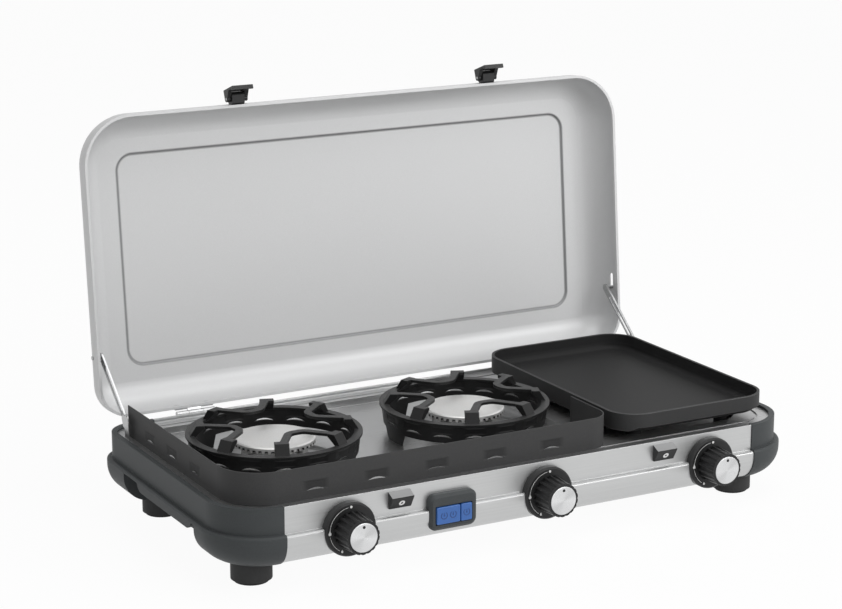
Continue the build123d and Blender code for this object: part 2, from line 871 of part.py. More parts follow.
# Spark electrodes: ceramic stem held in the tray, wire tip towards the burner
electrode_low = -25.0
spark_gap = 3.0
griddle_spark_height = 9.0
electrode_tips = (cap_under - spark_gap, cap_under - spark_gap, floor_z + griddle_spark_height)
electrode_wire = 4.0
electrode_wire_radius = 0.9
collar_radius = electrode_radius + 1.6
collar_height = 2.0
with BuildPart() as electrodes:
    for place, tip in zip(electrode_places + [griddle_electrode], electrode_tips):
        with BuildSketch(deck.offset(electrode_low)):
            with Locations(place):
                Circle(electrode_radius)
        extrude(amount=tip - electrode_low - electrode_wire)
        with BuildSketch(deck.offset(floor_z)):
            with Locations(place):
                Circle(collar_radius)
        extrude(amount=collar_height)
        with BuildSketch(deck.offset(tip - electrode_wire)):
            with Locations(place):
                Circle(electrode_wire_radius)
        extrude(amount=electrode_wire)
save(electrodes.part, "spark_electrodes")

# Gas train: manifold, inlet nozzle, valves and jets
manifold_end = knob_x[0] - 24.0
manifold_bend = 26.0
nozzle_start = body_back - nozzle_back
nozzle_shoulder = body_back + bulge
nozzle_chamfer = 1.0
with BuildPart() as manifold:
    with BuildLine(deck.offset(-manifold_drop)) as manifold_path:
        FilletPolyline(
            (manifold_end, manifold_y),
            (inlet_x, manifold_y),
            (inlet_x, nozzle_start),
            radius=manifold_bend,
        )
    with BuildSketch(side(manifold_end)):
        with Locations((manifold_y, -manifold_drop)):
            Circle(manifold_radius)
    sweep(path=manifold_path.line)
save(manifold.part, "gas_manifold")

with BuildPart() as nozzle:
    with BuildSketch(face.offset(-nozzle_start)):
        with Locations((inlet_x, inlet_z)):
            RegularPolygon(radius=nozzle_hex, side_count=6)
    extrude(amount=-(nozzle_shoulder - nozzle_start))
    with BuildSketch(face.offset(-nozzle_shoulder)):
        with Locations((inlet_x, inlet_z)):
            Circle(inlet_radius)
    extrude(amount=-nozzle_length)
    chamfer(nozzle.faces().sort_by(Axis.Y)[-1].edges(), nozzle_chamfer)
save(nozzle.part, "gas_inlet_nozzle")

valve_names = ("left", "right", "griddle")
valve_radius = 11.0
boss_radius = stem_radius + 1.4
boss_front = -bulge + sheet + clearance
valve_block = 18.0
valve_end = 8.0
jet_gap = 4.0
jet_hex = 6.0
jet_hex_length = 6.0
jet_radius = 3.2
jet_taper = 4.0
jet_start = valve_y + valve_length
stem_deep = jet_start - valve_end
for name, x in zip(valve_names, knob_x):
    with BuildPart() as valve:
        with BuildSketch(face.offset(-valve_y)):
            with Locations((x, -knob_drop)):
                Circle(valve_radius)
        extrude(amount=-valve_length)
        with BuildSketch(face.offset(-boss_front)):
            with Locations((x, -knob_drop)):
                Circle(boss_radius)
        extrude(amount=-(valve_y - boss_front))
        with BuildSketch(face.offset(-(manifold_y - valve_block / 2))):
            with Locations((x, (-knob_drop - manifold_drop) / 2)):
                Rectangle(valve_block, manifold_drop - knob_drop)
        extrude(amount=-valve_block)
        with BuildSketch(side(x)):
            with Locations((manifold_y, -manifold_drop)):
                Circle(manifold_radius)
        extrude(amount=valve_radius, both=True, mode=Mode.SUBTRACT)
        with BuildSketch(face.offset(-boss_front)):
            with Locations((x, -knob_drop)):
                Circle(stem_radius + running_fit)
        extrude(amount=-(stem_deep - boss_front + running_fit), mode=Mode.SUBTRACT)
    save(valve.part, f"{name}_valve")
    with BuildPart() as jet:
        with BuildSketch(face.offset(-jet_start)):
            with Locations((x, -knob_drop)):
                RegularPolygon(radius=jet_hex, side_count=6)
        extrude(amount=-jet_hex_length)
        with BuildSketch(face.offset(-(jet_start + jet_hex_length))):
            with Locations((x, -knob_drop)):
                Circle(jet_radius)
        extrude(amount=-(mixer_y - jet_start - jet_hex_length - jet_gap), taper=jet_taper)
    save(jet.part, f"{name}_jet")

clamp_x = (-100.0, 120.0)
clamp_half = 8.0
clamp_width = 8.0
clamp_web = 2.0
clamp_front = manifold_y - clamp_half
clamp_back = manifold_y + clamp_half
clamp_top = -manifold_drop + clamp_web
clamp_foot_end = pan_front + 14.0
clamp_low = bottom_z + cap_proud + sheet
clamp_front_low = clamp_low + 4.5
with BuildPart() as manifold_brackets:
    for x in clamp_x:
        with BuildSketch(side(x)):
            with BuildLine():
                Polyline(
                    (clamp_front, clamp_front_low),
                    (clamp_back, clamp_low),
                    (clamp_foot_end, clamp_low),
                    (clamp_foot_end, clamp_low + sheet),
                    (clamp_back, clamp_low + sheet + clamp_web),
                    (clamp_back, clamp_top),
                    (clamp_front, clamp_top),
                    close=True,
                )
            make_face()
            with Locations((manifold_y, -manifold_drop)):
                Circle(manifold_radius, mode=Mode.SUBTRACT)
        extrude(amount=clamp_width)
save(manifold_brackets.part, "manifold_brackets")

# Knobs with their bezels, valve stems and metal caps
bezel_back = 14.0
bezel_front = -bezel_stand
knob_back = bezel_front - knob_gap
knob_front = knob_back - knob_length
bezel_chamfer = 1.5
stem_socket = 12.0
flute_radius = 2.6
flute_centre = knob_radius + 0.2
with BuildPart() as bezels:
    with BuildSketch(face.offset(-bezel_back)):
        with Locations(*[(x, -knob_drop) for x in knob_x]):
            Circle(bezel_radius)
    extrude(amount=bezel_back - bezel_front)
    chamfer(bezels.faces().sort_by(Axis.Y)[0:3].edges(), bezel_chamfer)
    with BuildSketch(face.offset(-bezel_back)):
        with Locations(*[(x, -knob_drop) for x in knob_x]):
            Circle(boss_radius + clearance)
    extrude(amount=2 * bezel_back, mode=Mode.SUBTRACT)
    add(skin_outside, mode=Mode.SUBTRACT)
save(bezels.part, "knob_bezels")

for name, x in zip(valve_names, knob_x):
    with BuildPart() as knob:
        with BuildSketch(face.offset(-knob_back)):
            with Locations((x, -knob_drop)):
                Circle(knob_radius)
        with BuildSketch(face.offset(-knob_front)):
            with Locations((x, -knob_drop)):
                Circle(knob_front_radius)
        loft()
        with BuildSketch(face.offset(-knob_back)):
            with Locations((x, -knob_drop)):
                with PolarLocations(flute_centre, knob_flutes):
                    Circle(flute_radius)
        extrude(amount=knob_length, mode=Mode.SUBTRACT)
        with BuildSketch(face.offset(-knob_back)):
            with Locations((x, -knob_drop)):
                Circle(stem_radius)
        extrude(amount=stem_socket, mode=Mode.SUBTRACT)
    save(knob.part, f"{name}_knob")
    with BuildPart() as knob_cap:
        with BuildSketch(face.offset(-knob_front)):
            with Locations((x, -knob_drop)):
                Circle(knob_cap_radius)
        extrude(amount=knob_cap_height)
        chamfer(knob_cap.faces().sort_by(Axis.Y)[0].edges(), knob_cap_height / 3)
    save(knob_cap.part, f"{name}_knob_cap")
    with BuildPart() as stem:
        with BuildSketch(face.offset(-stem_deep)):
            with Locations((x, -knob_drop)):
                Circle(stem_radius)
        extrude(amount=stem_deep - knob_back + stem_socket)
    save(stem.part, f"{name}_valve_stem")

# Igniter: housing on the fascia, two push buttons and the spark module behind
igniter_mid_z = -igniter_drop - igniter_height / 2
module_y = 8.0
module_depth = 28.0
module_top = -21.5
module_bottom = -45.4
button_back = -0.5
button_stem = 3.0
button_grip = 4.0
button_corner = 1.5
button_edge = 1.0
module_margin = 5.0
module_slack = 1.0
with BuildPart() as igniter:
    with BuildSketch(face.offset(-bezel_back)):
        with Locations((igniter_mid_x, igniter_mid_z)):
            RectangleRounded(igniter_width, igniter_height, igniter_corner)
    extrude(amount=bezel_back + igniter_stand)
    chamfer(igniter.faces().sort_by(Axis.Y)[0].edges(), igniter_chamfer)
    add(skin_outside, mode=Mode.SUBTRACT)
    with BuildSketch(face.offset(-module_y)):
        with Locations((button_mid_x, button_mid_z)):
            Rectangle(
                button_span + 2 * (button_gap + sleeve_wall), button_height + 2 * (button_gap + sleeve_wall)
            )
    extrude(amount=module_y + igniter_stand - igniter_chamfer)
    with BuildSketch(face.offset(-module_y)):
        with Locations((button_mid_x, button_mid_z)):
            Rectangle(button_span + 2 * button_gap, button_height + 2 * button_gap)
    extrude(amount=module_y + 2 * igniter_stand, mode=Mode.SUBTRACT)
save(igniter.part, "igniter_housing")

buttons = (
    ("wide", button_left, button_split - button_gap / 2),
    ("narrow", button_split + button_gap / 2, button_right),
)
for name, low, high in buttons:
    with BuildPart() as button:
        with BuildSketch(face.offset(-button_back)):
            with Locations(((low + high) / 2, button_mid_z)):
                RectangleRounded(high - low, button_height, button_corner)
        extrude(amount=button_back + igniter_stand + button_stand)
        fillet(button.faces().sort_by(Axis.Y)[0].edges(), button_edge)
        with BuildSketch(face.offset(-button_back)):
            with Locations(((low + high) / 2, button_mid_z)):
                Circle(button_stem)
        extrude(amount=-(module_y + button_grip - button_back))
    save(button.part, f"{name}_igniter_button")

with BuildPart() as module:
    with BuildSketch(face.offset(-module_y)):
        with Locations((button_mid_x, (module_top + module_bottom) / 2)):
            Rectangle(button_span + 2 * module_margin, module_top - module_bottom)
    extrude(amount=-module_depth)
    with BuildSketch(face.offset(-module_y)):
        for name, low, high in buttons:
            with Locations(((low + high) / 2, button_mid_z)):
                Circle(button_stem + running_fit)
    extrude(amount=-(button_grip + button_travel + module_slack), mode=Mode.SUBTRACT)
save(module.part, "igniter_module")

# Catches on the fascia: a sloped brow with an undercut face, and an eyelet on each
brow_edge = 0.9
eyelet_radius = 3.4
eyelet_bore = 1.3
eyelet_sheet = 0.3
brow_low = -catch_brow - brow_edge
with BuildPart() as catches:
    for x in latch_x:
        with BuildSketch(side(x - catch_width / 2)):
            with BuildLine():
                Polyline(
                    (0, -catch_top),
                    (-catch_stand, -catch_brow),
                    (-catch_stand, brow_low),
                    (-catch_toe, -catch_bottom),
                    (0, -catch_bottom),
                    close=True,
                )
            make_face()
        extrude(amount=catch_width)
save(catches.part, "front_catches")

undercut = math.atan2(catch_stand - catch_toe, catch_bottom + brow_low)
undercut_plane = Plane(
    origin=(0, front_y - (catch_stand + catch_toe) / 2, top_z + (brow_low - catch_bottom) / 2),
    x_dir=(1, 0, 0),
    z_dir=(0, -math.cos(undercut), -math.sin(undercut)),
)
with BuildPart() as eyelets:
    with BuildSketch(undercut_plane):
        with Locations(*[(x, 0) for x in latch_x]):
            Circle(eyelet_radius)
            Circle(eyelet_bore, mode=Mode.SUBTRACT)
    extrude(amount=eyelet_sheet)
save(eyelets.part, "catch_eyelets")

# Lid: pressed shell with a raised panel and a hemmed rim
rim_n = -(lid_gap + hinge_drop)
back_n = rim_n - lid_depth
lid_mid_u = hinge_behind + lid_length / 2
panel_slope = 45.0
panel_lap = lid_sheet * math.sqrt(2.0)
lid_normal = Axis(lid_plane.origin, lid_plane.z_dir)
hinge_seat = Plane(
    origin=lid_plane.origin, x_dir=(1, 0, 0), z_dir=(0, math.sin(lid_lean), math.cos(lid_lean))
)
rivet_back = 10.0
rivet_spread = 18.0
rivet_places = [(sign * hinge_x + d, rivet_back) for sign in (-1, 1) for d in (-rivet_spread, rivet_spread)]
hook_n = rim_n - stay_hook_deep
slot_mid_u = stay_hook_along + stay_slot_length / 2 - stay_hook_radius - clearance


def lid_plan(inset):
    return rounded_plan(
        lid_width - 2 * inset, lid_length - 2 * inset, lid_hinge_corner - inset, lid_corner - inset
    )


def lid_form(inset, rise):
    with BuildPart() as form:
        with BuildSketch(lid_plane.offset(rim_n + rise)):
            with Locations((0, lid_mid_u)):
                add(lid_plan(inset))
        extrude(amount=-(lid_depth - inset + rise))
        fillet(form.faces().sort_by(lid_normal)[0].edges(), lid_edge_round - inset)
    return form.part


lid_outside = lid_form(0.0, 0.0)
lid_inside = lid_form(lid_sheet, rim_rise)
with BuildPart() as lid:
    add(lid_outside)
    with BuildSketch(lid_plane.offset(back_n + lid_sheet)):
        with Locations((0, lid_mid_u)):
            RectangleRounded(
                panel_width + 2 * panel_lap, panel_length + 2 * panel_lap, panel_corner + panel_lap
            )
    extrude(amount=-(panel_rise + lid_sheet), taper=panel_slope)
    add(lid_inside, mode=Mode.SUBTRACT)
    with BuildSketch(lid_plane.offset(back_n + lid_sheet)):
        with Locations((0, lid_mid_u)):
            RectangleRounded(panel_width, panel_length, panel_corner)
    extrude(amount=-panel_rise, taper=panel_slope, mode=Mode.SUBTRACT)
    with BuildSketch(lid_plane.offset(rim_n)):
        with Locations((0, lid_mid_u)):
            add(lid_plan(lid_sheet / 2))
            add(lid_plan(lid_sheet + lid_hem), mode=Mode.SUBTRACT)
    extrude(amount=-lid_hem_height)
    with BuildSketch(lid_side(0)):
        with Locations((slot_mid_u, hook_n)):
            SlotOverall(stay_slot_length, 2 * (stay_hook_radius + clearance))
    extrude(amount=lid_width, both=True, mode=Mode.SUBTRACT)
    with BuildSketch(hinge_seat):
        with Locations(*rivet_places):
            Circle(rivet_radius)
    extrude(amount=2 * hinge_behind, mode=Mode.SUBTRACT)
save(lid.part, "lid_shell")

# Hinges: a base leaf on the rear panel and a lid leaf, each with knuckles on one pin
leaf_gap = clearance
leaf_end = rivet_back + rivet_head_radius
middle_segment = hinge_width - 2 * hinge_segment - 2 * leaf_gap
web_top = -hinge_drop - hinge_knuckle + hinge_leaf
for name, sign in (("left", -1), ("right", 1)):
    start = sign * hinge_x - hinge_width / 2
    with BuildPart() as base_leaf:
        with BuildSketch(side(start)):
            with Locations((body_back + hinge_leaf / 2, (web_top - hinge_leaf_drop) / 2)):
                Rectangle(hinge_leaf, hinge_leaf_drop + web_top)
        extrude(amount=hinge_width)
        for low in (start, start + hinge_width - hinge_segment):
            with BuildSketch(side(low)):
                with Locations(((body_back + hinge_y) / 2, web_top - hinge_leaf / 2)):
                    Rectangle(hinge_behind, hinge_leaf)
                with Locations((hinge_y, -hinge_drop)):
                    Circle(hinge_knuckle)
                    Circle(hinge_pin_radius, mode=Mode.SUBTRACT)
            extrude(amount=hinge_segment)
        with BuildSketch(face.offset(-body_back)):
            with Locations(*screw_places):
                Circle(screw_radius)
        extrude(amount=-hinge_leaf, mode=Mode.SUBTRACT)
    save(base_leaf.part, f"{name}_hinge_base_leaf")
    with BuildPart() as lid_leaf:
        with BuildSketch(lid_side(start)):
            with Locations((hinge_behind - hinge_leaf / 2, -(leaf_end + hinge_knuckle) / 2)):
                Rectangle(hinge_leaf, leaf_end - hinge_knuckle)
        extrude(amount=hinge_width)
        with BuildSketch(lid_side(start + hinge_segment + leaf_gap)):
            with BuildLine():
                Polyline(
                    (hinge_behind, -hinge_knuckle - hinge_leaf),
                    (hinge_behind, -hinge_knuckle),
                    (0, -hinge_knuckle + hinge_leaf),
                    (0, -hinge_knuckle),
                    (hinge_behind - hinge_leaf, -hinge_knuckle - hinge_leaf),
                    close=True,
                )
            make_face()
            Circle(hinge_knuckle)
            Circle(hinge_pin_radius + running_fit, mode=Mode.SUBTRACT)
        extrude(amount=middle_segment)
        with BuildSketch(hinge_seat):
            with Locations(*rivet_places):
                Circle(rivet_radius)
        extrude(amount=2 * hinge_behind, mode=Mode.SUBTRACT)
    save(lid_leaf.part, f"{name}_hinge_lid_leaf")

with BuildPart() as hinge_pins:
    for sign in (-1, 1):
        with BuildSketch(lid_side(sign * hinge_x - hinge_width / 2)):
            Circle(hinge_pin_radius)
        extrude(amount=hinge_width)
save(hinge_pins.part, "hinge_pins")

with BuildPart() as lid_rivets:
    with BuildSketch(hinge_seat.offset(hinge_behind - hinge_leaf)):
        with Locations(*rivet_places):
            Circle(rivet_radius)
    extrude(amount=hinge_leaf + lid_sheet)
    with BuildSketch(hinge_seat.offset(hinge_behind + lid_sheet)):
        with Locations(*rivet_places):
            Circle(rivet_head_radius)
    extrude(amount=rivet_head)
save(lid_rivets.part, "lid_rivets")

with BuildPart() as hinge_screws:
    with BuildSketch(face.offset(-(body_back - sheet))):
        with Locations(*screw_places):
            Circle(screw_radius)
    extrude(amount=-(sheet + hinge_leaf))
    with BuildSketch(face.offset(-(body_back + hinge_leaf))):
        with Locations(*screw_places):
            Circle(screw_head_radius)
    extrude(amount=-screw_head)
save(hinge_screws.part, "hinge_screws")

# Lid stays: notched channels hooked through the lid's sides, dropping over pins on two brackets
hook_y = hinge_y + stay_hook_along * math.sin(lid_lean) - hook_n * math.cos(lid_lean)
hook_z = -hinge_drop + stay_hook_along * math.cos(lid_lean) + hook_n * math.sin(lid_lean)
stay_reach = math.hypot(stay_pin_y - hook_y, stay_pin_z - hook_z)
stay_turn = math.atan2(stay_pin_z - hook_z, stay_pin_y - hook_y)
stay_tail = 4.0
stay_run = stay_reach + stay_tail
stay_window_margin = 14.0
stay_window_width = 3.5
notch_lead = 7.0
notch_back = 1.0
hook_proud = 1.0
notch = stay_notch / 2
for name, sign in (("left", -1), ("right", 1)):
    along = Plane(
        origin=(sign * stay_x, front_y + hook_y, top_z + hook_z),
        x_dir=(0, math.cos(stay_turn), math.sin(stay_turn)),
        z_dir=(1, 0, 0),
    )
    with BuildPart() as stay:
        with BuildSketch(along):
            with Locations((stay_run / 2, 0)):
                SlotCenterToCenter(stay_run, stay_width)
        extrude(amount=sign * stay_depth)
        with BuildSketch(along.offset(sign * stay_sheet)):
            with Locations((stay_run / 2 + stay_width / 2, 0)):
                Rectangle(stay_run, stay_width - 2 * stay_sheet)
        extrude(amount=sign * stay_depth, mode=Mode.SUBTRACT)
        with BuildSketch(along):
            with Locations((stay_run / 2, 0)):
                SlotOverall(stay_run - 2 * stay_window_margin, stay_window_width)
            with Locations((stay_reach, 0)):
                Circle(notch)
            with BuildLine():
                Polyline(
                    (stay_reach - notch, 0),
                    (stay_reach + notch, 0),
                    (stay_reach + notch + notch_back, stay_width),
                    (stay_reach - notch - notch_lead, stay_width),
                    close=True,
                )
            make_face()
        extrude(amount=sign * stay_depth, mode=Mode.SUBTRACT)
        with BuildSketch(along.offset(sign * stay_sheet)):
            Circle(stay_hook_radius)
        extrude(amount=sign * (lid_width / 2 + hook_proud - stay_x - stay_sheet))
    save(stay.part, f"{name}_lid_stay")

stay_foot = 4.4
bracket_front = stay_pin_y - 16.0
bracket_foot_end = stay_pin_y - 5.5
bracket_back = stay_pin_y + 2.5
bracket_top = stay_pin_z + 5.0
bracket_shoulder = stay_pin_z + 0.4
bracket_crest = stay_pin_y - 0.7
bracket_step = lid_hem_height + 2.0
bracket_neck = (stay_pin_y - 1.0, lid_hem_height + 4.0)
bracket_hip = (stay_pin_y + 2.0, stay_pin_z - 1.5)
bracket_run = 4.0
bracket_drop = 6.0
with BuildPart() as stay_brackets:
    for sign in (-1, 1):
        with BuildSketch(side(sign * stay_bracket_x)):
            with BuildLine():
                Polyline(
                    (bracket_front, tray_z),
                    (bracket_foot_end, tray_z),
                    (bracket_foot_end, bracket_step),
                    bracket_neck,
                    bracket_hip,
                    (bracket_back, bracket_shoulder),
                    (bracket_crest, bracket_top),
                    (bracket_front + bracket_run, bracket_top),
                    (bracket_front, bracket_top - bracket_drop),
                    close=True,
                )
            make_face()
        extrude(amount=sign * thin_sheet)
        with BuildSketch(deck.offset(tray_z)):
            stay_foot_x = sign * (stay_bracket_x + thin_sheet - stay_foot / 2)
            with Locations((stay_foot_x, (bracket_front + bracket_foot_end) / 2)):
                Rectangle(stay_foot, bracket_foot_end - bracket_front)
        extrude(amount=thin_sheet)
        with BuildSketch(side(sign * stay_bracket_x)):
            with Locations((stay_pin_y, stay_pin_z)):
                Circle(stay_pin_radius)
        extrude(amount=sign * thin_sheet, mode=Mode.SUBTRACT)
save(stay_brackets.part, "stay_brackets")

pin_proud = 0.6
pin_inner = stay_x - pin_proud
with BuildPart() as stay_pins:
    for sign in (-1, 1):
        with BuildSketch(side(sign * pin_inner)):
            with Locations((stay_pin_y, stay_pin_z)):
                Circle(stay_pin_radius)
        extrude(amount=sign * (stay_bracket_x + thin_sheet - pin_inner))
save(stay_pins.part, "stay_pins")

# Latches: a base on the lid's front wall and an over-centre clip that hooks under the catch
wall_u = hinge_behind + lid_length
pivot_u = wall_u + latch_pivot_out
pivot_n = -latch_pivot_up
plate_in = 7.9
hub_radius = plate_in - 0.5
base_top = 5.8
ear = (latch_width - latch_base_width) / 2 - 2 * clearance
with BuildPart() as latch_bases:
    for x in latch_x:
        with BuildSketch(lid_side(x - latch_base_width / 2)):
            with Locations((pivot_u, pivot_n)):
                Circle(hub_radius)
            with Locations((wall_u + hub_radius, pivot_n + base_top - hub_radius)):
                Rectangle(2 * hub_radius, 2 * hub_radius, mode=Mode.INTERSECT)
        extrude(amount=latch_base_width)
        with BuildSketch(lid_side(x)):
            with Locations((pivot_u, pivot_n)):
                Circle(latch_pin_radius)
        extrude(amount=latch_base_width, both=True, mode=Mode.SUBTRACT)
save(latch_bases.part, "latch_bases")

with BuildPart() as latch_pins:
    for x in latch_x:
        with BuildSketch(lid_side(x - latch_width / 2)):
            with Locations((pivot_u, pivot_n)):
                Circle(latch_pin_radius)
        extrude(amount=latch_width)
save(latch_pins.part, "latch_pins")

pivot_z = -hinge_drop + latch_pivot_up
nose_gap = 0.6
nose_slope = 3.6
nose_sheet = 2.3
nose_hook = 2.0
plate_out = plate_in + latch_sheet
plate_back = -3.4
nose_top = pivot_z - brow_low + nose_gap
nose_tip = nose_top + nose_slope
nose_end = nose_tip + nose_sheet
nose_in = plate_in - nose_hook
for name, x in zip(("left", "right"), latch_x):
    pivot = Plane(lid_side(x - latch_width / 2).location * Location((pivot_u, pivot_n, 0)))
    clip_plane = Plane(pivot.location * Location((0, 0, 0), (0, 0, -latch_relaxed)))
    with BuildPart() as clip:
        with BuildSketch(clip_plane):
            with BuildLine():
                Polyline(
                    (plate_in, plate_back),
                    (plate_out, plate_back),
                    (plate_out, nose_end),
                    (nose_in, nose_end),
                    (nose_in, nose_tip),
                    (plate_in, nose_top),
                    close=True,
                )
            make_face()
        extrude(amount=latch_width)
        for low in (0.0, latch_width - ear):
            with BuildSketch(clip_plane.offset(low)):
                Circle(-plate_back)
                with BuildLine():
                    Polyline(
                        (0, plate_back),
                        (plate_out, plate_back),
                        (plate_out, -3 * plate_back),
                        (plate_in, -3 * plate_back),
                        (0, -plate_back),
                        close=True,
                    )
                make_face()
                Circle(latch_pin_radius + running_fit, mode=Mode.SUBTRACT)
            extrude(amount=ear)
    save(clip.part, f"{name}_latch_clip")
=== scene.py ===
import json
import math

import bmesh
import bpy
from mathutils import Matrix, Vector


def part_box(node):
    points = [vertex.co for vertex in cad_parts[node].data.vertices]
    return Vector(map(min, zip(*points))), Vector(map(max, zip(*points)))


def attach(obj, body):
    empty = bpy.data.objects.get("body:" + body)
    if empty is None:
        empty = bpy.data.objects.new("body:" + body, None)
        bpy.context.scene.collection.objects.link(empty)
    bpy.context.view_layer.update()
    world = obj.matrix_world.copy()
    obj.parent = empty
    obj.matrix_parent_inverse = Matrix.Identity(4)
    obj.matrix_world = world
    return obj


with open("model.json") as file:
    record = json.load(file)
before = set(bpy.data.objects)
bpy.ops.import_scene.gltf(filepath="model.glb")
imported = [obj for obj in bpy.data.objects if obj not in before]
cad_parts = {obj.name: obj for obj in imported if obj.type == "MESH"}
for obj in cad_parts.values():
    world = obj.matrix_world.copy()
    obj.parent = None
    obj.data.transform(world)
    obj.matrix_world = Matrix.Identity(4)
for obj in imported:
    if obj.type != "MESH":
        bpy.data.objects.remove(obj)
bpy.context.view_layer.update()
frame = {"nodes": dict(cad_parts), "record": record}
nodes = frame["nodes"]
print("frame loaded:", len(nodes), "nodes")


def middleOf(nodeName):
    low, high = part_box(nodeName)
    return (low + high) / 2


# finishes

plainLook = {  # what a finish has where its own look says nothing
    "ior": 1.5, "metallic": 0.0, "specular": 0.5, "coat": 0.0, "coatRoughness": 0.2, "anisotropic": 0.0,
    "grainDetail": 3.0, "driftDetail": 2.0, "driftShare": 0.25, "edgeRadius": 0.0006, "edgeWearAndSheenShare": 0.0,
    "reliefDetail": 3.0, "reliefStrength": 0.2, "reliefDepth": 0.0001,
}
noiseSpread = (0.3, 0.7)  # noise seldom leaves this range
edgeLean = {"samples": 4, "sharp": 0.72, "flat": 0.985}


def startFinish(name, look):
    material = bpy.data.materials.new(name)
    material.use_nodes = True
    shader = material.node_tree.nodes["Principled BSDF"]
    shader.inputs["IOR"].default_value = look["ior"]
    shader.inputs["Metallic"].default_value = look["metallic"]
    shader.inputs["Specular IOR Level"].default_value = look["specular"]
    shader.inputs["Coat Weight"].default_value = look["coat"]
    shader.inputs["Coat Roughness"].default_value = look["coatRoughness"]
    shader.inputs["Anisotropic"].default_value = look["anisotropic"]
    return material, material.node_tree, shader


# a socket takes another node's output or a plain value
def feed(tree, socket, value):
    if isinstance(value, bpy.types.NodeSocket):
        tree.links.new(value, socket)
    else:
        socket.default_value = value


def noiseAt(tree, stretch, detail, roughness=0.55):
    coords = tree.nodes.new("ShaderNodeTexCoord")
    place = tree.nodes.new("ShaderNodeMapping")
    place.inputs["Scale"].default_value = stretch
    noise = tree.nodes.new("ShaderNodeTexNoise")
    noise.inputs["Scale"].default_value = 1.0
    noise.inputs["Detail"].default_value = detail
    noise.inputs["Roughness"].default_value = roughness
    tree.links.new(coords.outputs["Object"], place.inputs["Vector"])
    tree.links.new(place.outputs["Vector"], noise.inputs["Vector"])
    return noise.outputs["Fac"]


def twoTone(tree, noise, dark, light):
    ramp = tree.nodes.new("ShaderNodeValToRGB")
    for element, place, tone in zip(ramp.color_ramp.elements, noiseSpread, (dark, light)):
        element.position = place
        element.color = (*tone, 1.0)
    tree.links.new(noise, ramp.inputs["Fac"])
    return ramp.outputs["Color"]


def rangeOf(tree, source, low, high, fromLow=noiseSpread[0], fromHigh=noiseSpread[1]):
    spread = tree.nodes.new("ShaderNodeMapRange")
    spread.inputs["From Min"].default_value = fromLow
    spread.inputs["From Max"].default_value = fromHigh
    spread.inputs["To Min"].default_value = low
    spread.inputs["To Max"].default_value = high
    tree.links.new(source, spread.inputs["Value"])
    return spread.outputs["Result"]


# sockets 6 and 7 are the two colours, output 2 the mixed one
def mixColours(tree, share, first, second):
    mixer = tree.nodes.new("ShaderNodeMix")
    mixer.data_type = "RGBA"
    feed(tree, mixer.inputs[0], share)
    for socket, tone in ((6, first), (7, second)):
        feed(tree, mixer.inputs[socket], (*tone, 1.0) if isinstance(tone, tuple) else tone)
    return mixer.outputs[2]


def mathOf(tree, kind, *values):
    step = tree.nodes.new("ShaderNodeMath")
    step.operation = kind
    for socket, value in zip(step.inputs, values):
        feed(tree, socket, value)
    return step.outputs["Value"]


def vectorOf(tree, kind, *values):
    step = tree.nodes.new("ShaderNodeVectorMath")
    step.operation = kind
    for socket, value in zip(step.inputs, values):
        feed(tree, socket, value)
    return step.outputs["Value" if kind in ("LENGTH", "DOT_PRODUCT") else "Vector"]


def objectPlace(tree, origin=(0, 0, 0), tilt=0.0):
    coords = tree.nodes.new("ShaderNodeTexCoord")
    place = tree.nodes.new("ShaderNodeMapping")
    place.vector_type = "TEXTURE"
    place.inputs["Location"].default_value = origin
    place.inputs["Rotation"].default_value = (tilt, 0, 0)
    tree.links.new(coords.outputs["Object"], place.inputs["Vector"])
    return place.outputs["Vector"]


def axesOf(tree, vector):
    parts = tree.nodes.new("ShaderNodeSeparateXYZ")
    tree.links.new(vector, parts.inputs["Vector"])
    return parts.outputs["X"], parts.outputs["Y"], parts.outputs["Z"]


# rounded-edge normal, and how far it leans from the flat one: 0 on faces, 1 on sharp edges
def softEdge(tree, radius):
    bevel = tree.nodes.new("ShaderNodeBevel")
    bevel.samples = edgeLean["samples"]
    bevel.inputs["Radius"].default_value = radius
    flat = tree.nodes.new("ShaderNodeNewGeometry")
    lean = vectorOf(tree, "DOT_PRODUCT", bevel.outputs["Normal"], flat.outputs["Normal"])
    return bevel.outputs["Normal"], rangeOf(tree, lean, 1.0, 0.0, edgeLean["sharp"], edgeLean["flat"])


def bumpNormal(tree, height, strength, distance, normal):
    bump = tree.nodes.new("ShaderNodeBump")
    bump.inputs["Strength"].default_value = strength
    bump.inputs["Distance"].default_value = distance
    tree.links.new(height, bump.inputs["Height"])
    tree.links.new(normal, bump.inputs["Normal"])
    return bump.outputs["Normal"]


# one finish from its look: two tones, a fine grain, a slow drift, edges pale from wear and painted highlight,
# and a relief;
# tints add place-bound colours, press a place-bound dent
def layFinish(name, look, tints=(), press=None):
    look = {**plainLook, "relief": look["grain"], **look}
    material, tree, shader = startFinish(name, look)
    grain = noiseAt(tree, look["grain"], look["grainDetail"])
    drift = noiseAt(tree, look["drift"], look["driftDetail"])
    normal, edge = softEdge(tree, look["edgeRadius"])
    tone = twoTone(tree, grain, look["dark"], look["light"])
    tone = mixColours(tree, rangeOf(tree, drift, 0.0, look["driftShare"]), tone, look["driftTone"])
    # paler edges: partly wear, partly painted highlight
    if look["edgeWearAndSheenShare"] > 0:
        tone = mixColours(tree, mathOf(tree, "MULTIPLY", edge, look["edgeWearAndSheenShare"]), tone, look["edgeWearAndSheenTone"])
    for tint in tints:
        share, colour = tint(tree)
        tone = mixColours(tree, share, tone, colour)
    tree.links.new(tone, shader.inputs["Base Color"])
    tree.links.new(rangeOf(tree, grain, *look["roughness"]), shader.inputs["Roughness"])
    if press:
        normal = bumpNormal(tree, press(tree), 1.0, look["pressDepth"], normal)
    relief = noiseAt(tree, look["relief"], look["reliefDetail"])
    normal = bumpNormal(tree, relief, look["reliefStrength"], look["reliefDepth"], normal)
    tree.links.new(normal, shader.inputs["Normal"])
    return material


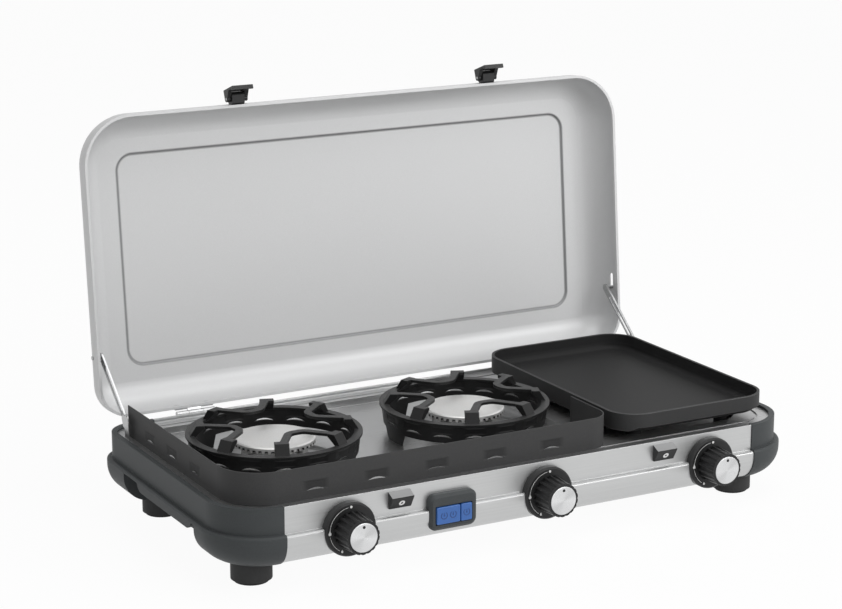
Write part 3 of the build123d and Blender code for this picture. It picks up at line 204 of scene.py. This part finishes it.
finishLooks = {
    "satinPaint": {  # silver lacquer with fine flake and a little orange peel
        "dark": (0.57, 0.573, 0.576), "light": (0.64, 0.643, 0.646), "driftTone": (0.61, 0.613, 0.616),
        "grain": (1400, 1400, 1400), "drift": (5, 5, 5), "driftShare": 0.5,
        "metallic": 0.2, "roughness": (0.42, 0.54), "coat": 0.08, "coatRoughness": 0.35,
        "relief": (260, 260, 260), "reliefStrength": 0.08, "edgeWearAndSheenShare": 0.25, "edgeWearAndSheenTone": (0.75, 0.755, 0.76),
    },
    "traySteel": {  # satin steel that mirrors the dark pieces standing on it
        "dark": (0.39, 0.393, 0.396), "light": (0.49, 0.493, 0.496), "driftTone": (0.44, 0.44, 0.438),
        "grain": (9, 1300, 1300), "grainDetail": 4.0, "drift": (9, 9, 9), "driftShare": 0.5,
        "metallic": 0.9, "roughness": (0.26, 0.38), "anisotropic": 0.2,
        "relief": (12, 1500, 1500), "reliefStrength": 0.08, "edgeWearAndSheenShare": 0.3, "edgeWearAndSheenTone": (0.66, 0.665, 0.67),
    },
    "brushedSteel": {  # lines run along the front
        "dark": (0.51, 0.514, 0.514), "light": (0.61, 0.615, 0.615), "driftTone": (0.56, 0.565, 0.565),
        "grain": (6, 1500, 1500), "grainDetail": 5.0, "drift": (3, 60, 60), "driftShare": 0.5,
        "metallic": 1.0, "roughness": (0.34, 0.5), "anisotropic": 0.4,
        "relief": (8, 2200, 2200), "reliefStrength": 0.12, "edgeWearAndSheenShare": 0.15, "edgeWearAndSheenTone": (0.66, 0.66, 0.665),
    },
    "zincPlate": {  # plated hinge and stay steel, faintly clouded
        "dark": (0.36, 0.365, 0.37), "light": (0.47, 0.475, 0.48), "driftTone": (0.42, 0.415, 0.405),
        "grain": (420, 420, 420), "drift": (45, 45, 45), "driftShare": 0.4,
        "metallic": 1.0, "roughness": (0.26, 0.42), "reliefStrength": 0.1,
        "edgeWearAndSheenShare": 0.3, "edgeWearAndSheenTone": (0.56, 0.56, 0.56),
    },
    "capPlastic": {  # moulded end caps with a fine spark-eroded grain
        "dark": (0.05, 0.0545, 0.0565), "light": (0.066, 0.0715, 0.0735), "driftTone": (0.058, 0.063, 0.065),
        "grain": (1500, 1500, 1500), "drift": (9, 9, 9), "driftShare": 0.5,
        "roughness": (0.46, 0.6), "specular": 0.18, "relief": (1900, 1900, 1900), "reliefStrength": 0.28,
        "edgeWearAndSheenShare": 0.5, "edgeWearAndSheenTone": (0.09, 0.096, 0.1), "edgeRadius": 0.0009,
    },
    "footRubber": {
        "dark": (0.032, 0.0323, 0.0327), "light": (0.046, 0.0464, 0.0468),
        "driftTone": (0.042, 0.042, 0.0418), "grain": (900, 900, 900), "drift": (30, 30, 30),
        "driftShare": 0.5, "roughness": (0.62, 0.8), "specular": 0.3,
        "relief": (700, 700, 700), "reliefStrength": 0.35,
        "edgeWearAndSheenShare": 0.4, "edgeWearAndSheenTone": (0.05, 0.05, 0.05), "edgeRadius": 0.0012,
    },
    "screenCoat": {  # heat-proof powder coat
        "dark": (0.049, 0.049, 0.0498), "light": (0.064, 0.064, 0.0648), "driftTone": (0.056, 0.056, 0.056),
        "grain": (1100, 1100, 1100), "drift": (8, 8, 8), "driftShare": 0.5,
        "roughness": (0.48, 0.62), "specular": 0.14, "relief": (800, 800, 800), "reliefStrength": 0.25,
        "edgeWearAndSheenShare": 0.5, "edgeWearAndSheenTone": (0.1, 0.1, 0.102), "pressDepth": -0.0007,
    },
    "ringEnamel": {  # fired enamel, slightly mottled, its paler edges partly thin enamel and partly painted highlight
        "dark": (0.0075, 0.0075, 0.008), "light": (0.0125, 0.0125, 0.013),
        "driftTone": (0.014, 0.0138, 0.0135), "grain": (600, 600, 600), "drift": (22, 22, 22),
        "driftShare": 0.6, "roughness": (0.34, 0.5), "specular": 0.22,
        "relief": (300, 300, 300), "reliefStrength": 0.16, "reliefDepth": 0.0002,
        "edgeWearAndSheenShare": 0.7, "edgeWearAndSheenTone": (0.075, 0.075, 0.076), "edgeRadius": 0.0011, "pressDepth": -0.0007,
    },
    "griddleCoat": {  # matt non-stick coat over cast metal, pale on its edges from wear and painted highlight
        "dark": (0.035, 0.035, 0.0355), "light": (0.05, 0.05, 0.0505), "driftTone": (0.043, 0.043, 0.0435),
        "grain": (1300, 1300, 1300), "grainDetail": 4.0, "drift": (14, 14, 14), "driftShare": 0.5,
        "roughness": (0.48, 0.62), "specular": 0.12, "relief": (520, 520, 520), "reliefStrength": 0.22,
        "edgeWearAndSheenShare": 0.9, "edgeWearAndSheenTone": (0.22, 0.22, 0.223), "edgeRadius": 0.0013,
    },
    "castAlloy": {  # burner castings, heat-toned in places
        "dark": (0.68, 0.68, 0.675), "light": (0.8, 0.8, 0.795), "driftTone": (0.72, 0.705, 0.68),
        "grain": (700, 700, 700), "drift": (50, 50, 50), "driftShare": 0.45,
        "metallic": 0.75, "roughness": (0.38, 0.55), "relief": (500, 500, 500), "reliefStrength": 0.3,
        "edgeWearAndSheenShare": 0.4, "edgeWearAndSheenTone": (0.82, 0.82, 0.82),
    },
    "tubeSteel": {
        "dark": (0.42, 0.42, 0.43), "light": (0.55, 0.55, 0.56), "driftTone": (0.48, 0.43, 0.38),
        "grain": (900, 12, 900), "drift": (30, 30, 30), "driftShare": 0.5,
        "metallic": 1.0, "roughness": (0.28, 0.45), "reliefStrength": 0.1,
    },
    "turnedBrass": {
        "dark": (0.55, 0.39, 0.16), "light": (0.68, 0.51, 0.24), "driftTone": (0.5, 0.37, 0.2),
        "grain": (1800, 1800, 40), "drift": (60, 60, 60), "driftShare": 0.4,
        "metallic": 1.0, "roughness": (0.24, 0.4), "reliefStrength": 0.1,
        "edgeWearAndSheenShare": 0.4, "edgeWearAndSheenTone": (0.8, 0.66, 0.38),
    },
    "controlPlastic": {  # knobs, bezels, latches
        "dark": (0.014, 0.0142, 0.0147), "light": (0.021, 0.0212, 0.0218),
        "driftTone": (0.018, 0.018, 0.0184), "grain": (1600, 1600, 1600), "drift": (25, 25, 25),
        "driftShare": 0.5,
        "roughness": (0.34, 0.48), "specular": 0.28, "relief": (2000, 2000, 2000), "reliefStrength": 0.2,
        "edgeWearAndSheenShare": 0.5, "edgeWearAndSheenTone": (0.05, 0.05, 0.051),
    },
    "buttonBlue": {
        "dark": (0.03, 0.11, 0.36), "light": (0.045, 0.15, 0.45), "driftTone": (0.035, 0.125, 0.4),
        "grain": (1700, 1700, 1700), "drift": (40, 40, 40), "driftShare": 0.5,
        "roughness": (0.3, 0.42), "relief": (1500, 1500, 1500), "reliefStrength": 0.12,
        "edgeWearAndSheenShare": 0.4, "edgeWearAndSheenTone": (0.12, 0.26, 0.6),
    },
    "buttonMark": {
        "dark": (0.012, 0.05, 0.19), "light": (0.02, 0.065, 0.23), "driftTone": (0.016, 0.06, 0.21),
        "grain": (1700, 1700, 1700), "drift": (40, 40, 40), "roughness": (0.35, 0.5), "reliefStrength": 0.1,
    },
    "whitePrint": {
        "dark": (0.76, 0.76, 0.75), "light": (0.86, 0.86, 0.85), "driftTone": (0.8, 0.8, 0.79),
        "grain": (2000, 2000, 2000), "drift": (60, 60, 60), "roughness": (0.4, 0.55), "reliefStrength": 0.1,
    },
    "whiteGlaze": {
        "dark": (0.74, 0.73, 0.69), "light": (0.84, 0.83, 0.8), "driftTone": (0.78, 0.76, 0.7),
        "grain": (300, 300, 300), "drift": (80, 80, 80), "roughness": (0.15, 0.28), "coat": 0.4,
        "relief": (200, 200, 200), "reliefStrength": 0.08,
    },
}


# distance from the core of a rounded rectangle that lies in the XY plane; height doesn't count
def roundedReach(tree, place, middle, half, corner):
    away = vectorOf(tree, "ABSOLUTE", vectorOf(tree, "SUBTRACT", place, middle))
    past = vectorOf(tree, "SUBTRACT", away, (half[0] - corner, half[1] - corner, 1))
    return vectorOf(tree, "LENGTH", vectorOf(tree, "MAXIMUM", past, (0, 0, 0)))


# shadowed crease round the lid's pressed panel, in the lid's own plane from its hinge
lidCrease = {"middle": (0, 0.1726, 0), "half": (0.291, 0.12), "corner": 0.02, "line": (0.0011, 0.0025),
             "share": 0.72, "tone": (0.13, 0.132, 0.135)}


def creaseTint(tree):
    look = lidCrease
    hinge = next(j for j in frame["record"]["behaviour"]["joints"] if j["name"] == "lid_hinge")
    openAngle = math.radians(-hinge["range_deg"][0])  # from shut to the open lid of the rest pose
    flat = objectPlace(tree, hinge["pos_m"], math.radians(180) - openAngle)
    reach = roundedReach(tree, flat, look["middle"], look["half"], look["corner"])
    core, fade = look["line"]
    across = mathOf(tree, "ABSOLUTE", mathOf(tree, "SUBTRACT", reach, look["corner"] - core))
    return rangeOf(tree, across, look["share"], 0.0, core, fade), look["tone"]


# how far a face looks up, on pieces that never tip
def upTint(share, low, high, tone):
    def tint(tree):
        flat = tree.nodes.new("ShaderNodeNewGeometry")
        up = axesOf(tree, flat.outputs["Normal"])[2]
        return rangeOf(tree, up, 0.0, share, low, high), tone
    return tint


# painted shade darkens steel folds, the catches' tops are bare steel, painted highlight pales ring flange tops
upFacingFoldShade = upTint(0.85, 0.08, 0.4, (0.29, 0.292, 0.292))
catchTint = upTint(0.9, 0.3, 0.5, (0.34, 0.342, 0.345))
flangeTopSheen = upTint(0.8, 0.6, 0.9, (0.031, 0.031, 0.0312))

louvreShade = {"core": 0.62, "tone": (0.006, 0.006, 0.0062), "screenShare": 0.42, "ringShare": 0.5}


# one dent per louvre: 1 inside, fading at its edge
def dentAt(tree, along, up, look):
    inRow = mathOf(tree, "DIVIDE", mathOf(tree, "ABSOLUTE", along), look["half"])
    offLevel = mathOf(tree, "ABSOLUTE", mathOf(tree, "SUBTRACT", up, look["level"]))
    inHeight = mathOf(tree, "DIVIDE", offLevel, look["tall"])
    return rangeOf(tree, mathOf(tree, "MAXIMUM", inRow, inHeight), 1.0, 0.0, louvreShade["core"], 1.0)


# the pressed strip over each slit lies in its own shade
def dentTint(press, share):
    def tint(tree):
        return mathOf(tree, "MULTIPLY", press(tree), share), louvreShade["tone"]
    return tint


# rows of louvres along the windscreen's walls: first place, pitch and count
screenDents = {"half": 0.0155, "tall": 0.0056, "level": 0.1025,
               "front": (-0.242, 0.0695, 5), "side": (-0.06936, 0.06, 3)}


def screenPress(tree):
    x, y, z = axesOf(tree, objectPlace(tree))
    rows = []
    for place, (first, pitch, count) in ((x, screenDents["front"]), (y, screenDents["side"])):
        along = mathOf(tree, "WRAP", mathOf(tree, "SUBTRACT", place, first), pitch / 2, -pitch / 2)
        middle = first + pitch * (count - 1) / 2
        off = mathOf(tree, "ABSOLUTE", mathOf(tree, "SUBTRACT", place, middle))
        inside = mathOf(tree, "LESS_THAN", off, pitch * count / 2)
        rows.append(mathOf(tree, "MULTIPLY", dentAt(tree, along, z, screenDents), inside))
    return mathOf(tree, "ADD", *rows)


# way along a circle about a burner, counted from the middle of the nearest of its equal steps
def alongCircle(tree, x, y, count, radius, swing=0.0):
    turn = mathOf(tree, "SUBTRACT", mathOf(tree, "ARCTAN2", y, x), math.radians(swing))
    step = math.pi / count
    return mathOf(tree, "MULTIPLY", mathOf(tree, "WRAP", turn, step, -step), radius)


# x and y from the burner's own axis
def burnerPlace(tree, side):
    middle = middleOf(side + "_burner_cap")
    return axesOf(tree, objectPlace(tree, (middle.x, middle.y, 0)))


# louvres round each pan support
ringDents = {"half": 0.0125, "tall": 0.0042, "level": 0.1073, "count": 16, "radius": 0.091,
             "swing": {"left": 4.5, "right": 0.0}}


def ringPress(side):
    def press(tree):
        x, y, z = burnerPlace(tree, side)
        swing = ringDents["swing"][side]
        along = alongCircle(tree, x, y, ringDents["count"], ringDents["radius"], swing)
        return dentAt(tree, along, z, ringDents)
    return press


# inside of the griddle: painted shade, darker on the floor and darkest on the walls, within the pale rim
griddleDish = {"corner": 0.034, "rim": (0.0024, 0.0034), "underside": 0.0985, "wall": (0.1012, 0.106),
               "floorShade": (0.02, 0.02, 0.0202), "wallShade": (0.006, 0.006, 0.0061)}


def dishShadeTint(tree):
    look = griddleDish
    place = objectPlace(tree)
    low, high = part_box("griddle_plate")
    reach = roundedReach(tree, place, middleOf("griddle_plate"), (high - low) / 2, look["corner"])
    rimInside, rimOutside = look["corner"] - look["rim"][1], look["corner"] - look["rim"][0]
    inside = rangeOf(tree, reach, 1.0, 0.0, rimInside, rimOutside)
    height = axesOf(tree, place)[2]
    above = mathOf(tree, "GREATER_THAN", height, look["underside"])
    up = rangeOf(tree, height, 0.0, 1.0, *look["wall"])
    return mathOf(tree, "MULTIPLY", inside, above), mixColours(tree, up, look["floorShade"], look["wallShade"])


# flame ports: painted shade in the notches under the rim of each burner cap
capPorts = {"count": 40, "half": 0.0016, "fade": 0.00192, "level": (0.1052, 0.1058), "radius": 0.044,
            "share": 0.92, "tone": (0.012, 0.012, 0.012)}


def portShadeTint(side):
    def tint(tree):
        look = capPorts
        x, y, z = burnerPlace(tree, side)
        along = mathOf(tree, "ABSOLUTE", alongCircle(tree, x, y, look["count"], look["radius"]))
        inPort = rangeOf(tree, along, 1.0, 0.0, look["half"], look["fade"])
        underRim = rangeOf(tree, z, look["share"], 0.0, *look["level"])
        return mathOf(tree, "MULTIPLY", inPort, underRim), look["tone"]
    return tint


# turned disc: fine rings about the knob's own axis, with painted sheen in paler and darker sectors
spunCap = {"metallic": 1.0, "anisotropic": 0.75, "rings": 4200, "ringDetail": 2.0,
           "dark": (0.62, 0.625, 0.63), "light": (0.78, 0.785, 0.79), "roughness": (0.26, 0.38),
           "sectors": 2.0, "sectorStart": 0.7, "sectorFade": (-0.6, 1.0), "sectorShare": 0.4,
           "sheenSectorTone": (0.4, 0.402, 0.405), "edgeRadius": 0.0004,
           "reliefStrength": 0.1, "reliefDepth": 0.00005}


def spunFinish(name, centre):
    look = {**plainLook, **spunCap}
    material, tree, shader = startFinish(name, look)
    place = objectPlace(tree, centre)
    flat = vectorOf(tree, "MULTIPLY", place, (1, 0, 1))
    rings = tree.nodes.new("ShaderNodeTexNoise")
    rings.noise_dimensions = "1D"
    rings.inputs["Scale"].default_value = look["rings"]
    rings.inputs["Detail"].default_value = look["ringDetail"]
    tree.links.new(vectorOf(tree, "LENGTH", flat), rings.inputs["W"])
    ringNoise = rings.outputs["Fac"]
    lathe = vectorOf(tree, "NORMALIZE", vectorOf(tree, "CROSS_PRODUCT", flat, (0, 1, 0)))
    tree.links.new(lathe, shader.inputs["Tangent"])
    across, upward = axesOf(tree, place)[::2]
    # painted sheen: sectors about the axis darkened in turn
    turn = mathOf(tree, "MULTIPLY", mathOf(tree, "ARCTAN2", upward, across), look["sectors"])
    wave = mathOf(tree, "SINE", mathOf(tree, "ADD", turn, look["sectorStart"]))
    sheen = rangeOf(tree, wave, 0.0, look["sectorShare"], *look["sectorFade"])
    tone = mixColours(tree, sheen, twoTone(tree, ringNoise, look["dark"], look["light"]), look["sheenSectorTone"])
    tree.links.new(tone, shader.inputs["Base Color"])
    tree.links.new(rangeOf(tree, ringNoise, *look["roughness"]), shader.inputs["Roughness"])
    normal = softEdge(tree, look["edgeRadius"])[0]
    normal = bumpNormal(tree, ringNoise, look["reliefStrength"], look["reliefDepth"], normal)
    tree.links.new(normal, shader.inputs["Normal"])
    return material


plainFinishes = ("traySteel", "brushedSteel", "zincPlate", "capPlastic", "footRubber", "castAlloy", "tubeSteel",
                 "turnedBrass", "controlPlastic", "buttonBlue", "buttonMark", "whitePrint", "whiteGlaze")
finishes = {name: layFinish(name, finishLooks[name]) for name in plainFinishes}
finishes["lidPaint"] = layFinish("lidPaint", finishLooks["satinPaint"], [creaseTint])
finishes["foldedSteel"] = layFinish("foldedSteel", finishLooks["brushedSteel"], [upFacingFoldShade])
finishes["catchPlastic"] = layFinish("catchPlastic", finishLooks["controlPlastic"], [catchTint])
finishes["dishCoat"] = layFinish("dishCoat", finishLooks["griddleCoat"], [dishShadeTint])
screenTint = dentTint(screenPress, louvreShade["screenShare"])
finishes["louvredCoat"] = layFinish("louvredCoat", finishLooks["screenCoat"], [screenTint], screenPress)
for side in ("left", "right"):
    ringDent = ringPress(side)
    ringTints = [dentTint(ringDent, louvreShade["ringShare"]), flangeTopSheen]
    ringName, portName = side + "RingEnamel", side + "PortAlloy"
    finishes[ringName] = layFinish(ringName, finishLooks["ringEnamel"], ringTints, ringDent)
    finishes[portName] = layFinish(portName, finishLooks["castAlloy"], [portShadeTint(side)])

nodeFinishes = {
    "lidPaint": ["lid_shell"],
    "traySteel": ["hob_tray"],
    "foldedSteel": ["front_fascia"],
    "brushedSteel": ["rear_panel"],
    "zincPlate": [
        "base_pan", "gas_manifold", "manifold_brackets", "left_hinge_base_leaf", "right_hinge_base_leaf",
        "left_hinge_lid_leaf", "right_hinge_lid_leaf", "hinge_pins", "lid_rivets", "hinge_screws",
        "left_lid_stay", "right_lid_stay", "stay_brackets", "stay_pins", "latch_pins",
    ],
    "capPlastic": ["left_end_cap", "right_end_cap", "igniter_housing"],
    "footRubber": ["feet"],
    "louvredCoat": ["windscreen"],
    "leftRingEnamel": ["left_pan_support"],
    "rightRingEnamel": ["right_pan_support"],
    "dishCoat": ["griddle_plate"],
    "castAlloy": ["left_burner", "right_burner"],
    "leftPortAlloy": ["left_burner_cap"],
    "rightPortAlloy": ["right_burner_cap"],
    "tubeSteel": ["griddle_burner"],
    "turnedBrass": [
        "gas_inlet_nozzle", "left_valve", "right_valve", "griddle_valve", "left_jet", "right_jet",
        "griddle_jet", "left_valve_stem", "right_valve_stem", "griddle_valve_stem",
    ],
    "controlPlastic": [
        "knob_bezels", "left_knob", "right_knob", "griddle_knob", "igniter_module",
        "latch_bases", "left_latch_clip", "right_latch_clip",
    ],
    "catchPlastic": ["front_catches"],
    "buttonBlue": ["wide_igniter_button", "narrow_igniter_button"],
    "whiteGlaze": ["spark_electrodes"],
    "whitePrint": ["catch_eyelets"],
}


def dress(piece, material):
    piece.data.materials.clear()
    piece.data.materials.append(material)


for finishName, names in nodeFinishes.items():
    for nodeName in names:
        dress(nodes[nodeName], finishes[finishName])
knobSides = ("left", "right", "griddle")
for knobSide in knobSides:
    capName = knobSide + "_knob_cap"
    dress(nodes[capName], spunFinish(knobSide + "SpunCap", middleOf(capName)))
print("finishes laid:", len(bpy.data.materials))


# prints and marks

def placePiece(name, shape, body, material):
    bmesh.ops.remove_doubles(shape, verts=shape.verts[:], dist=1e-6)
    bmesh.ops.recalc_face_normals(shape, faces=shape.faces[:])
    mesh = bpy.data.meshes.new(name)
    shape.to_mesh(mesh)
    shape.free()
    piece = bpy.data.objects.new(name, mesh)
    bpy.context.scene.collection.objects.link(piece)
    dress(piece, material)
    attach(piece, body)


# middle of a node's front face
def frontOf(nodeName):
    spot = middleOf(nodeName)
    spot.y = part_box(nodeName)[0].y
    return spot


# gives a flat shape of the XY plane a thickness and lays it on a front-facing spot
def standOnFront(shape, verts, spot, thickness):
    faces = [f for f in shape.faces if f.verts[0] in verts]
    lifted = bmesh.ops.extrude_face_region(shape, geom=faces)
    top = [v for v in lifted["geom"] if isinstance(v, bmesh.types.BMVert)]
    bmesh.ops.translate(shape, vec=(0, 0, thickness), verts=top)
    frontOn = Matrix.Translation(spot) @ Matrix.Rotation(math.radians(90), 4, "X")
    bmesh.ops.transform(shape, matrix=frontOn, verts=verts + top)


markShape = {"discSides": 24, "tipShare": 0.9, "arcStep": 4, "fewestSteps": 6}


# a dot, or a drop where its upper tip is pulled
def addDisc(shape, centre, radius, spot, thickness, pull=0.0):
    made = bmesh.ops.create_circle(shape, cap_ends=True, segments=markShape["discSides"], radius=radius,
                                   matrix=Matrix.Translation((*centre, 0)))
    tipFrom = centre[1] + radius * markShape["tipShare"]
    tip = [v for v in made["verts"] if v.co.y > tipFrom]
    bmesh.ops.translate(shape, vec=(0, pull, 0), verts=tip)
    standOnFront(shape, made["verts"], spot, thickness)


def addArc(shape, radius, width, start, end, spot, thickness):
    before = set(shape.verts)
    toStart = Matrix.Rotation(math.radians(start), 3, "Z")
    line = [shape.verts.new(toStart @ Vector((radius + off, 0, 0))) for off in (-width / 2, width / 2)]
    edge = shape.edges.new(line)
    steps = max(markShape["fewestSteps"], round((end - start) / markShape["arcStep"]))
    bmesh.ops.spin(shape, geom=[*line, edge], cent=(0, 0, 0), axis=(0, 0, 1),
                   angle=math.radians(end - start), steps=steps, use_merge=False)
    standOnFront(shape, [v for v in shape.verts if v not in before], spot, thickness)


# marks are angle, radius and pulled tip: the off dot, the full flame and the low flame
bezelPrint = {"radius": 0.0241, "line": 0.00045, "gap": 8, "thickness": 0.00012,
              "marks": ((90, 0.0014, 0.0), (182, 0.0017, 0.0016), (244, 0.0013, 0.0008))}


def makeBezelPrint():
    look = bezelPrint
    shape = bmesh.new()
    for knobSide in knobSides:
        spot = middleOf(knobSide + "_knob")
        spot.y = frontOf("knob_bezels").y
        for angle, size, pull in look["marks"]:
            turn = math.radians(angle)
            centre = (look["radius"] * math.cos(turn), look["radius"] * math.sin(turn))
            addDisc(shape, centre, size, spot, look["thickness"], pull)
        angles = [mark[0] for mark in look["marks"]]
        for start, end in zip(angles, angles[1:]):
            addArc(shape, look["radius"], look["line"], start + look["gap"], end - look["gap"], spot,
                   look["thickness"])
    placePiece("bezelPrint", shape, "base", finishes["whitePrint"])


indexDot = {"reach": 0.0112, "radius": 0.0016, "thickness": 0.0001}


def makeIndexDots():
    for knobSide in knobSides:
        shape = bmesh.new()
        spot = frontOf(knobSide + "_knob_cap")
        addDisc(shape, (0, indexDot["reach"]), indexDot["radius"], spot, indexDot["thickness"])
        body = knobSide + "_control"
        placePiece(knobSide + "IndexDot", shape, body, finishes["controlPlastic"])


# an open ring with a bar, twice on the wide button
buttonMarks = {"ring": 0.0035, "line": 0.0009, "from": 125, "to": 415, "bar": 0.0021, "pitch": 0.0105,
               "thickness": 0.00012, "count": {"wide": 2, "narrow": 1}}


def makeButtonMarks():
    look = buttonMarks
    for name, count in look["count"].items():
        shape = bmesh.new()
        for n in range(count):
            spot = frontOf(name + "_igniter_button")
            spot.x += (n - (count - 1) / 2) * look["pitch"]
            addArc(shape, look["ring"], look["line"], look["from"], look["to"], spot, look["thickness"])
            addDisc(shape, (0, 0), look["line"], spot, look["thickness"], look["bar"])
        placePiece(name + "ButtonMarks", shape, name + "_button", finishes["buttonMark"])


makeBezelPrint()
makeIndexDots()
makeButtonMarks()
print("prints and marks made")


# stage, light and camera

stageLook = {"dark": (0.85, 0.85, 0.85), "light": (0.86, 0.86, 0.86), "grain": (40, 40, 40), "roughness": 0.8,
             "size": 6.0, "whiteShare": 0.95, "white": 1.0, "worldFill": 0.38}


# 1 where the camera, a mirror or clear glass looks, 0 for the light that falls on the stove
def seenDirectly(tree):
    path = tree.nodes.new("ShaderNodeLightPath")
    seen = mathOf(tree, "MAXIMUM", path.outputs["Is Camera Ray"], path.outputs["Is Glossy Ray"])
    return mathOf(tree, "MAXIMUM", seen, path.outputs["Is Transmission Ray"])


def makeStage():
    shape = bmesh.new()
    bmesh.ops.create_grid(shape, x_segments=1, y_segments=1, size=stageLook["size"])
    mesh = bpy.data.meshes.new("paleFloor")
    shape.to_mesh(mesh)
    shape.free()
    floor = bpy.data.objects.new("paleFloor", mesh)
    bpy.context.scene.collection.objects.link(floor)
    material, tree, shader = startFinish("paleFloor", plainLook)
    grain = noiseAt(tree, stageLook["grain"], plainLook["grainDetail"])
    tree.links.new(twoTone(tree, grain, stageLook["dark"], stageLook["light"]), shader.inputs["Base Color"])
    shader.inputs["Roughness"].default_value = stageLook["roughness"]
    glow = tree.nodes.new("ShaderNodeEmission")
    glow.inputs["Strength"].default_value = stageLook["white"]
    mixer = tree.nodes.new("ShaderNodeMixShader")
    share = mathOf(tree, "MULTIPLY", seenDirectly(tree), stageLook["whiteShare"])
    tree.links.new(share, mixer.inputs["Fac"])
    tree.links.new(shader.outputs["BSDF"], mixer.inputs[1])
    tree.links.new(glow.outputs["Emission"], mixer.inputs[2])
    tree.links.new(mixer.outputs["Shader"], tree.nodes["Material Output"].inputs["Surface"])
    dress(floor, material)


def makeWorld():
    world = bpy.data.worlds.new("paleStudio")
    bpy.context.scene.world = world
    world.use_nodes = True
    tree = world.node_tree
    back = tree.nodes["Background"]
    back.inputs["Color"].default_value = (1, 1, 1, 1)
    strength = rangeOf(tree, seenDirectly(tree), stageLook["worldFill"], stageLook["white"], 0.0, 1.0)
    tree.links.new(strength, back.inputs["Strength"])


lamps = {
    "overhead": {"place": (0.35, -0.5, 2.3), "aim": (0, 0, 0.1), "size": (2.0, 1.5), "watts": 21},
    "frontLeft": {"place": (-2.0, -2.2, 1.4), "aim": (0, 0, 0.2), "size": (1.6, 1.2), "watts": 5},
    "frontRight": {"place": (1.7, -2.4, 1.4), "aim": (0, 0, 0.2), "size": (1.6, 1.2), "watts": 38},
}


def makeLamps():
    for name, look in lamps.items():
        light = bpy.data.lights.new(name, "AREA")
        light.shape = "RECTANGLE"
        light.size, light.size_y = look["size"]
        light.energy = look["watts"]
        lamp = bpy.data.objects.new(name, light)
        lamp.location = look["place"]
        lamp.rotation_euler = (Vector(look["aim"]) - lamp.location).to_track_quat("-Z", "Y").to_euler()
        bpy.context.scene.collection.objects.link(lamp)


# solved from the straight edges in the photograph
shot = {"place": (-1.2191, -2.17266, 0.8549), "down": 14.29, "turn": 28.76, "lens": 99.91, "sensor": 36.0}


def makeCamera():
    lens = bpy.data.cameras.new("photoView")
    lens.lens = shot["lens"]
    lens.sensor_width = shot["sensor"]
    camera = bpy.data.objects.new("photoView", lens)
    camera.location = shot["place"]
    camera.rotation_euler = (math.radians(90 - shot["down"]), 0, math.radians(-shot["turn"]))
    bpy.context.scene.collection.objects.link(camera)
    bpy.context.scene.camera = camera


makeStage()
makeWorld()
makeLamps()
makeCamera()
bpy.context.scene.view_settings.view_transform = "Standard"
print("stage, light and camera set")

bpy.context.view_layer.update()
